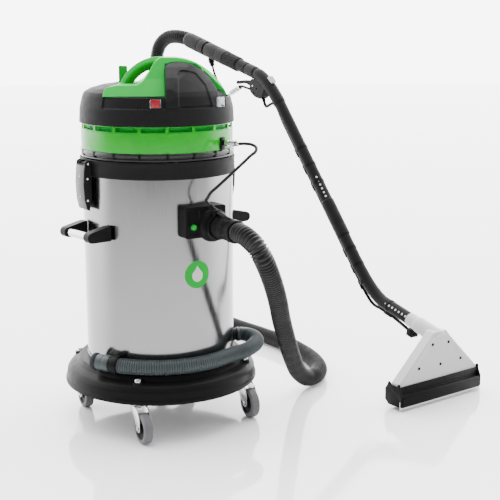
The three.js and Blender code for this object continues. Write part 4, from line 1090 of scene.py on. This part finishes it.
def head_shell(inset=0.0):
    """The dark crown with the hood that rises behind the column."""
    crown = turned([
        (0, 900 - inset), (112, 900 - inset, 30), (140, 897 - inset, 20), (172 - inset, 888 - inset, 14),
        (189 - inset, 879 - inset, 9), (194 - inset, 870 - inset, 8), (202 - inset, 838, 6),
        (HEAD_R - inset, 803, 1.5), (HEAD_R - inset, HEAD_FOOT, 1), (0, HEAD_FOOT),
    ], 180, 6, False)
    hood = common(
        side_panel(inset), slab(hood_section(inset, FLANK), -100, 300, "yz"), dome(1 + inset),
        block((-300, -300, 850), (300, 300, 1000)),
    )
    return join(crown, hood)


def sector(begin, end, low, high):
    far = 400
    corner = [(far * math.cos(math.radians(a)), far * math.sin(math.radians(a))) for a in (begin, end)]
    return slab([(0, 0), *corner], low, high, "xy")


def cover_plan(margin=0.0):
    right, tip, waist = HOOD_START + margin, -139 - margin, -100 - margin
    bulge = [(tip, 150), (-124 - margin, 120), (-108 - margin, 80), (waist, 40), (waist, -40),
             (-108 - margin, -80), (-124 - margin, -120), (tip, -150)]
    plan = rounded([(right, -230), (tip, -230), *reversed([(x, y, 30) for x, y in bulge]), (tip, 230),
                    (right, 230)], 5)
    return slab(plan, COVER_Z - margin, 1200, "xy")


def head_housing():
    hollow = turned([
        (0, HEAD_FOOT - 5), (201, HEAD_FOOT - 5), (201, HEAD_FOOT + 2), (198, 838), (188, 866, 5),
        (182, 875, 6), (168, 882, 6), (138, 891), (118, 894), (0, 894),
    ], 144, 4, False)
    crown_space = common(
        cut(arch(ARCH_R + 20, 10), side_panel()),
        block((12, -BAND_HALF - 0.4, 865.6), (300, BAND_HALF + 0.4, 1000)),
    )
    strip = turned([(197.5, 843, 2), (230, 843), (230, 871.7), (190.5, 871.7, 2)], 180, 3)
    strips = [common(strip, sector(-133, -84, 600, 1000)), common(strip, sector(84, 133, 600, 1000))]
    switch_hole = moved(block((180, -13.9, 846.4), (230, 13.9, 867.6), 1), turn(SWITCH_ANGLE))
    bay = moved(block((184, -20.8, 843.2), (230, 20.8, 867.8), 1), turn(SOCKET_ANGLE))
    panel = rounded([(54, 845, 7), (141, 845, 6), (124, 900, 16), (98, 930, 22), (54, 940, 16)], 8)
    inner = head_shell(3.2)
    panels = [cut(slab(panel, low, high), inner) for low, high in ((-240, -70), (70, 240))]
    shell = cut(head_shell(), hollow, cover_plan(0.3), crown_space, *strips, switch_hole, bay, *panels)
    make("head_crown", moulded(shell, 1.7, 2), "head_black", ["head_housing"], body="head")


def top_cover():
    side = rounded([
        (-139, COVER_Z), (-139, 882, 4), (-129, 893, 6), (-100, 899, 10), (-50, 899, 12), (-35, 908, 10),
        (-22, 924, 8), (-12, 942, 8), (-3, 956, 8), (10, 966, 6), (HOOD_START, 966), (HOOD_START, COVER_Z),
    ], 6)
    block_part = common(slab(side, -205, 205), cover_plan(), slab(hood_section(), -300, 100, "yz"), dome())
    well = block((-86, -30, 888), (-44, 30, 960), 10)
    pockets = [block((-8, -64, 860), (17, 64, 936), 4), block((-100, -100, 860), (-8, 100, 882), 4)]
    grip_path = [Vector((x, 0, z)) for x, z in arc(12, 851, 102, 86, 158, 40)]
    grip_section = rounded([(-11, -14), (11, -14), (11, 14), (-11, 14)], 5, 7)
    grip = sweep(grip_path, lambda i: grip_section)
    crown = common(
        cut(arch(ARCH_R, 12), side_panel(-0.3)), block((10, -BAND_HALF, 871), (300, BAND_HALF, 1000)),
        slab(hood_section(), -300, 300, "yz"), dome(),
    )
    post = slab(rounded([(-99, 885), (-76, 885), (-76, 943, 3), (-99, 943, 3)], 3), 28, 34)
    hole = rod(3.2, (-101, -93, 880), (-101, -93, 920), 20)
    solid_part = join(cut(block_part, well, *pockets), grip, crown, post)
    shape = moulded(cut(solid_part, hole), 1.3, 4)
    make("head_cover", shape, "green", ["top_cover"], body="head")


def small_head_parts():
    at = place(SWITCH_ANGLE)
    rocker = rounded([(-4, -11.5, 1), (6.6, -11.5, 2), (4.3, 0, 6), (6.6, 11.5, 2), (-4, 11.5, 1)], 4)
    rocker = moved(slab(rocker, 847.2, 866.8, "xy"), shift(193) @ turn(-8))
    make("rocker_face", rocker, "red", ["rocker_switch"], at, "power_switch", bevel=0.8)
    frame_outer = block((190, -13.8, 846.6), (196, 13.8, 867.4), 2)
    frame_inner = block((180, -12.2, 846.9), (230, 12.2, 867.1), 1)
    make("rocker_frame", cut(frame_outer, frame_inner), "clear", at=at, body="head")
    flap_at = place(SOCKET_ANGLE)
    flap = slab(rounded([(-20, 844, 3), (14, 844, 3), (14, 867, 3), (-20, 867, 3)], 4), 197, 202, "yz")
    spine = rod(2.6, (199.5, -18, 866), (199.5, 12, 866), 20, 0.6)
    post = block((196.6, 14.6, 844), (202.6, 19.8, 867.4), 1.6)
    make("socket_cover_post", post, "black", at=flap_at, body="socket_lid", bevel=0.4)
    make("socket_cover", merge(flap, spine), "clear", ["socket_flap"], flap_at, "socket_lid", bevel=0.6)
    tab = block((202, -5, 845), (204.4, 5, 848.5), 1)
    make("socket_cover_tab", tab, "black", at=flap_at, body="socket_lid", bevel=0.4)


head_housing()
top_cover()
small_head_parts()


# ---------- couplers and leads ----------
def coupler(start, end):
    """Stepped body of a quick coupler along X, and its knurled sliding collar."""
    body = turned([
        (3, start), (7, start, 0.5), (7, start + 8, 0.5), (5.5, start + 8), (5.5, end - 14),
        (6.5, end - 14, 0.3), (6.5, end - 8, 0.4), (4.6, end - 3, 0.3), (3, end - 3),
    ], 32, 3)
    low, high = start + 13, end - 15
    grooves = []
    for z in [low + 2 + 2.2 * k for k in range(int((high - low - 4) / 2.2))]:
        grooves += [(8.5, z), (7.9, z + 0.7), (7.9, z + 1.2), (8.5, z + 1.9)]
    collar = lathe([
        (6, low), (8.1, low), (8.5, low + 0.6), *grooves, (8.5, high - 0.6), (8.1, high), (6, high),
    ], 32)
    flats = hexagon(14.5, start, start + 7.5)
    hole = rod(3.4, (0, 0, start - 1), (0, 0, start + 9), 20)
    return merge(body, cut(flats, hole)), collar


def ring_coupler():
    at = place(COUPLER_ANGLE)
    pad = rounded([(-9, 734, 3), (9, 734, 3), (9, 766, 4), (-9, 766, 4)], 4)
    ring_space = rod(201, (0, 0, 700), (0, 0, 800), 180)
    base = cut(slab(pad, 196, 205.5, "yz"), ring_space)
    nipple = merge(
        moved(hexagon(13, 205, 209), level(COUPLER_Z)),
        rod(5.5, (203, 0, COUPLER_Z), (212, 0, COUPLER_Z), 28, 0.5),
    )
    make("tank_outlet", merge(base, nipple), "black", ["ring_nipple"], at, "head", bevel=0.5)
    body, collar = coupler(212.3, 256)
    body, collar = moved(body, level(COUPLER_Z)), moved(collar, level(COUPLER_Z))
    make("tank_coupler", body, "brass", ["ring_coupler"], at)
    make("tank_coupler_collar", collar, "bright", ["ring_coupler_collar"], at, "ring_collar")


ring_coupler()

# ---------- hand wand, in its own frame ----------
def on_wand(point):
    return Vector((point[0], 0, point[1]))


def towards(start, end, reach):
    return start + (end - start).normalized() * reach


FOOT, LOWER, UPPER, HOSE = map(on_wand, (FOOT_END, LOWER_CORNER, UPPER_CORNER, HOSE_END))
JOINT = LOWER.lerp(UPPER, 0.335)


def bent(before, corner, after, back, on, step=6):
    start, end = towards(corner, before, back), towards(corner, after, on)
    shares = [i / 24 for i in range(25)]
    curve = [start * (1 - t) ** 2 + corner * 2 * t * (1 - t) + end * t * t for t in shares]
    return even([before, *curve, after], step)


LOWER_PATH = bent(FOOT, LOWER, towards(JOINT, LOWER, 0.4), 55, 130)
UPPER_PATH = bent(JOINT, UPPER, towards(UPPER, HOSE, 95), 125, 62)


def wand_sleeve(start, end, loop, sides=56):
    return moved(lathe(loop, sides), along(start, end))


def detents(start, end, first, last, count, azimuth):
    """A row of small round studs along one side of a tube."""
    line = (end - start).normalized()
    across = Vector((-line.z, 0, line.x))
    out = across * math.cos(math.radians(azimuth)) + Vector((0, 1, 0)) * math.sin(math.radians(azimuth))
    dots = []
    for k in range(count):
        centre = start + line * (first + (last - first) * k / (count - 1))
        dots.append(rod(3.4, centre + out * (TUBE_R - 1), centre + out * (TUBE_R + 0.5), 20, 0.4))
    return merge(*dots)


def wand_tubes():
    for end, path in (("lower", LOWER_PATH), ("upper", UPPER_PATH)):
        tube = sweep(path, lambda i: TUBE_R, 40)
        make(f"wand_tube_{end}", tube, "wand_black", [f"{end}_tube"], WAND)
    before_grip = (UPPER - HOSE).length - 62
    near_bend = [p for p in UPPER_PATH if (p - UPPER).length < 105 and (p - HOSE).length > before_grip]
    elbow = sweep(near_bend, lambda i: 20.2 if 0 < i < len(near_bend) - 1 else 18.8, 48)
    make("wand_elbow", elbow, "wand_black", ["upper_tube"], WAND)
    low = towards(JOINT, LOWER, 66)
    sleeve = wand_sleeve(low, UPPER, rounded([
        (17, 0), (19.5, 0, 1), (20.5, 4, 2), (20.5, 40, 0.4), (19.9, 41, 0.3), (20.5, 42, 0.4),
        (20.5, 92, 0.4), (19.9, 93, 0.3), (20.5, 94, 0.4), (20.5, 128, 2), (18, 132, 1), (17, 132),
    ], 3))
    make("wand_joint", sleeve, "wand_black", ["upper_tube"], WAND)
    marks = merge(
        detents(LOWER, UPPER, 333.7, 419.7, 7, 35), detents(FOOT, LOWER, 48.2, 132.7, 7, 61),
    )
    make("wand_detents", marks, "white", at=WAND)


def wand_grip():
    threads = []
    for k in range(11):
        z = 171 + 6.2 * k
        threads += [(24, z), (24.9, z + 1.2, 0.8), (24.9, z + 3.4, 0.8), (24, z + 4.6)]
    grip = wand_sleeve(UPPER, HOSE, rounded([
        (17.2, 66), (19.4, 66, 1), (20.6, 70, 2), (20.6, 112, 0.6), (18.9, 113, 0.4), (18.9, 117, 0.4),
        (20.6, 118, 0.6), (20.5, 162, 1), (22.5, 166, 1), (24, 167.5, 1), *threads, (24.5, 241, 1),
        (26, 245, 1.5), (26, 290, 0.5), (25.3, 291, 0.4), (26, 292, 0.5), (26.2, 340, 1),
        (26.2, 356.5, 1.5), (15, 356.5), (15, 92), (17.2, 92),
    ], 3), 64)
    take_off = merge(
        rod(8, (1160, 0, 945), (1147, 0, 914), 32, 1), rod(10, (1157.5, 0, 939), (1151.2, 0, 924), 32, 1.5),
    )
    make("wand_handgrip", grip, "wand_black", ["wand_grip"], WAND)
    make("wand_take_off", take_off, "black", ["wand_grip"], WAND)
    cuff = wand_sleeve(UPPER, HOSE, rounded([
        (15, 357.3), (23.5, 357.3, 0.6), (23.5, 364, 0.4), (27, 364.4, 1.5), (27, 398, 0.5), (26, 399, 0.4),
        (26, 403, 0.4), (27, 404, 0.5), (27, 481, 3), (25.4, 484, 0.6), (15, 484),
    ], 4), 64)
    make("wand_cuff_sleeve", cuff, "wand_black", ["wand_cuff"], WAND, "wand_swivel")


def wand_valve():
    outline = rounded([
        (896, 878), (909, 862, 8), (905, 834, 8), (880, 818, 10), (852, 812, 8), (838, 820, 8),
        (824, 850, 10), (848, 874),
    ], 6)
    tube_space = sweep(UPPER_PATH, lambda i: TUBE_R + 0.3, 40)
    notch = slab(rounded([(878, 836, 3), (935, 836), (935, 895), (878, 895, 3)], 4), -8, 8)
    grip_space = rod(21.6, towards(UPPER, HOSE, 60), towards(UPPER, HOSE, 220), 40)
    holes = [rod(3.6, (s, 12.5, z), (s, 20, z), 24) for s, z in ((868, 845), (882, 830))]
    body = cut(slab(outline, -15, 15), tube_space, notch, grip_space, *holes)
    make("valve_casing", moulded(body, 0.9, 3), "wand_black", ["valve_body"], WAND)
    route = [(868, 0, 832), (905, 0, 838), (950, 0, 845.6), (966, 0, 848.3), (973, 0, 848.6), (979, 0, 845.9)]
    stem = sweep(smooth(route, 3), lambda i: 4, 20)
    nut = moved(hexagon(12, 0, 7), along((906, 0, 838.3), (950, 0, 845.6)))
    outlet = merge(
        rod(6, (852, 0, 822), (846, 0, 806), 28, 0.8), rod(7.4, (850.5, 0, 818), (848.3, 0, 812), 28, 0.8),
    )
    pin = rod(2.6, (890, -16, 854), (890, 16, 854), 24, 0.5)
    make("valve_stem", merge(stem, nut, outlet), "black", ["valve_body"], WAND, bevel=0.2)
    make("valve_pin", pin, "bright", ["valve_body"], WAND)
    lever = rounded([
        *arc(890, 854, 7.5, 110, 290, 14), (912, 851, 8), (934, 858.5, 8), (960, 859.5, 10),
        (988, 855.5, 3), (994.5, 858, 3), (993, 867, 3), (949, 870.3, 8), (912, 871, 6), (900, 867, 4),
    ], 5)
    hollow = rounded([
        (915, 857, 2), (934, 862, 5), (962, 863, 5), (984, 860, 2), (984, 864, 2), (949, 866.5, 5),
        (914, 867, 2),
    ], 4)
    pin_hole = rod(3, (890, -20, 854), (890, 20, 854), 28)
    trigger = cut(slab(lever, -7, 7), pin_hole, slab(hollow, -20, -5.6), slab(hollow, 5.6, 20))
    make("trigger_grip", moulded(trigger, 0.6, 3), "wand_black", ["trigger_lever"], WAND, "trigger")


def relief_slide():
    at = shift(804.8, 0, 875.8) @ turn(-38.6, "Y")
    cap = block((-14, -9, -2.4), (14, 9, 5.4), 3)
    ridges = [rod(0.9, (x, -7.5, 5.5), (x, 7.5, 5.5), 10, 0.4) for x in (-9, -5.5, -2, 1.5, 5, 8.5)]
    slide = moved(merge(cap, *ridges), at)
    make("bleed_slide_cap", slide, "white", ["relief_slider"], WAND, "bleed_slide", bevel=0.9)


def coupler_on_wand():
    start, end = Vector((979.4, 0, 845.6)), Vector((1046, 0, 817))
    body, collar = coupler(0.3, (end - start).length)
    aim = along(start, end)
    make("valve_coupler", moved(body, aim), "brass", ["wand_coupler"], WAND)
    make("valve_coupler_collar", moved(collar, aim), "bright", ["wand_coupler_collar"], WAND, "wand_collar")


def below(start, end, t, offset):
    line = (end - start).normalized()
    return start.lerp(end, t) + Vector((line.z, 0, -line.x)) * offset


def solution_pipe():
    route = [
        Vector((845.8, 0, 805.4)), Vector((842.5, 0, 797)), Vector((834, 0, 788)),
        *[below(LOWER, UPPER, t, 25) for t in (0.9, 0.8, 0.65, 0.5, 0.35, 0.25, 0.17, 0.1)],
        *[below(FOOT, LOWER, t, 25) for t in (0.97, 0.78, 0.55)], below(FOOT, LOWER, 0.35, 29),
        below(FOOT, LOWER, 0.16, 34),
    ]
    pipe = sweep(smooth(route, 5), lambda i: 4.8, 20)
    make("spray_pipe", pipe, "black", ["solution_pipe"], WAND)
    start, end = below(FOOT, LOWER, 0.18, 34), below(FOOT, LOWER, 0, 34)
    jet = turned([(2, 0), (9, 0, 1), (9, 24, 1), (5, 32, 0.6), (2, 32)], 40, 4)
    nut = hexagon(19, 8, 20)
    bracket = block((-14, -10, 5), (14, 10, 27), 2)
    jet_parts = moved(merge(jet, nut, bracket), along(start, end))
    make("spray_jet", jet_parts, "black", ["solution_pipe"], WAND, bevel=0.4)
    clips = []
    runs = [(t, LOWER, UPPER) for t in (0.06, 0.13, 0.2, 0.5, 0.58, 0.66)] + [(0.62, FOOT, LOWER)]
    for t, a, b in runs:
        centre, line = a.lerp(b, t), (b - a).normalized()
        low = below(a, b, t, 25)
        clips += [
            ring_bar(TUBE_R + 1.2, TUBE_R - 0.2, centre - line * 5, centre + line * 5, 40, 0.4),
            ring_bar(7, 4.4, low - line * 14, low + line * 14, 24, 0.6),
        ]
    make("spray_pipe_clips", merge(*clips), "black", ["solution_pipe"], WAND)


def floor_tool():
    fan = rounded(mirrored([(156, 60), (156, 72, 6), (40, 184, 24), (24, 202, 10)]), 8)
    rib = rounded(mirrored([(138, 70), (31, 176, 20), (20, 186, 6)]), 8)
    mouth = towards(FOOT, LOWER, 44)
    barrel = wand_sleeve(mouth, FOOT, rounded([
        (0, 0), (20, 0, 1.5), (20.5, 30, 2), (23, 40, 4), (23, 122, 1), (20, 126, 1), (0, 126),
    ], 4, 0, False))
    tube_space = rod(TUBE_R + 0.4, towards(FOOT, LOWER, 60), towards(LOWER, FOOT, 207), 40)
    front = slab(rib, 10, 20.8, "yz")
    cavity = slab(mirrored([(148, 55), (30, 182)]), 23, 46, "yz")
    shape = cut(join(slab(fan, 20, 52, "yz"), barrel), cavity, front, tube_space)
    make("tool_shell", moulded(shape, 1.4, 4), "white", ["tool_body"], WAND)
    screws = merge(*[
        rod(4.2, (23, y, z), (19.2, y, z), 24, 0.9)
        for y, z in ((28, 167), (-36, 164), (-89, 106), (-6, 104), (80, 106))
    ])
    make("tool_screws", screws, "black", at=WAND)


def tool_base():
    profile = rounded([
        (6, 10, 1), (2, 14, 2), (2, 38, 2), (5, 43, 3), (15, 45, 2), (15, 65.6, 2), (58, 65.6, 4),
        (63, 58, 2), (64, 52, 1), (72, 50, 3), (72, 20, 4), (62, 8, 3), (16, 8, 0.5), (14, 10, 0.5),
    ], 4)
    bar = slab(profile, -157, 157)
    slot = block((24, -146, 0), (49, 146, 80), 8)
    groove = block((7.7, -200, -5), (10.3, 200, 28.3))
    end_outline = rounded([
        (4, 12, 3), (4, 42, 3), (13, 62, 3), (15, 76, 2), (21, 76, 2), (24, 68, 3), (50, 68, 3),
        (53, 76, 2), (59, 76, 2), (62, 66, 3), (70, 54, 4), (70, 22, 6), (60, 14, 4),
    ], 4)
    make("tool_shoe", cut(bar, slot, groove), "black", ["tool_base"], WAND, bevel=0.7)
    for side, letter in ((1, "a"), (-1, "b")):
        low, high = sorted((side * 157, side * 161.5))
        end = cut(slab(end_outline, low, high), groove)
        make(f"tool_shoe_end_{letter}", end, "black", ["tool_base"], WAND, bevel=0.7)
    blade = slab(rounded([(8, 0.8, 0.4), (10, 0, 0.4), (10, 28), (8, 28)], 3), -163, 163)
    make("tool_lip", blade, "bright", ["lip_blade"], WAND)


wand_tubes()
wand_grip()
wand_valve()
relief_slide()
coupler_on_wand()
solution_pipe()
floor_tool()
tool_base()


# ---------- studio ----------
def studio():
    skin = bmesh.new()
    bmesh.ops.create_grid(skin, x_segments=24, y_segments=24, size=14)
    mesh = bpy.data.meshes.new("floor")
    skin.to_mesh(mesh)
    skin.free()
    floor = add_object("floor", mesh)
    floor.location = (0, 4, -0.0006)
    material, tree, shader = blank("pale_floor")
    pale = tint(tree, noise(tree, 0.7), (0.9, 0.9, 0.9), (0.93, 0.93, 0.93))
    tree.links.new(pale, shader.inputs["Base Color"])
    tree.links.new(spread(tree, noise(tree, 3), 0.06, 0.11), shader.inputs["Roughness"])
    mesh.materials.append(material)
    world = bpy.data.worlds.new("studio")
    world.use_nodes = True
    tree = world.node_tree
    background = tree.nodes["Background"]
    background.inputs["Color"].default_value = (1, 1, 1, 1)
    # a white backdrop behind the machine and to its sides, and a dimmer room in front of it
    glow = add_node(tree, "MapRange", From_Min=-0.3, From_Max=0.3, To_Min=0.8, To_Max=7.5)
    glow.interpolation_type = "SMOOTHSTEP"
    parts = add_node(tree, "SeparateXYZ")
    tree.links.new(add_node(tree, "TexCoord").outputs["Generated"], parts.inputs["Vector"])
    tree.links.new(parts.outputs["Y"], glow.inputs["Value"])
    tree.links.new(glow.outputs["Result"], background.inputs["Strength"])
    bpy.context.scene.world = world
    data = bpy.data.lights.new("top", "AREA")
    data.shape = "RECTANGLE"
    data.size, data.size_y = 2.4, 2.0
    data.energy = 45
    lamp = add_object("top", data)
    lamp.location = (0.2, -0.9, 3.0)
    lamp.rotation_euler = (Vector((0, 0, 0.5)) - lamp.location).to_track_quat("-Z", "Y").to_euler()


studio()
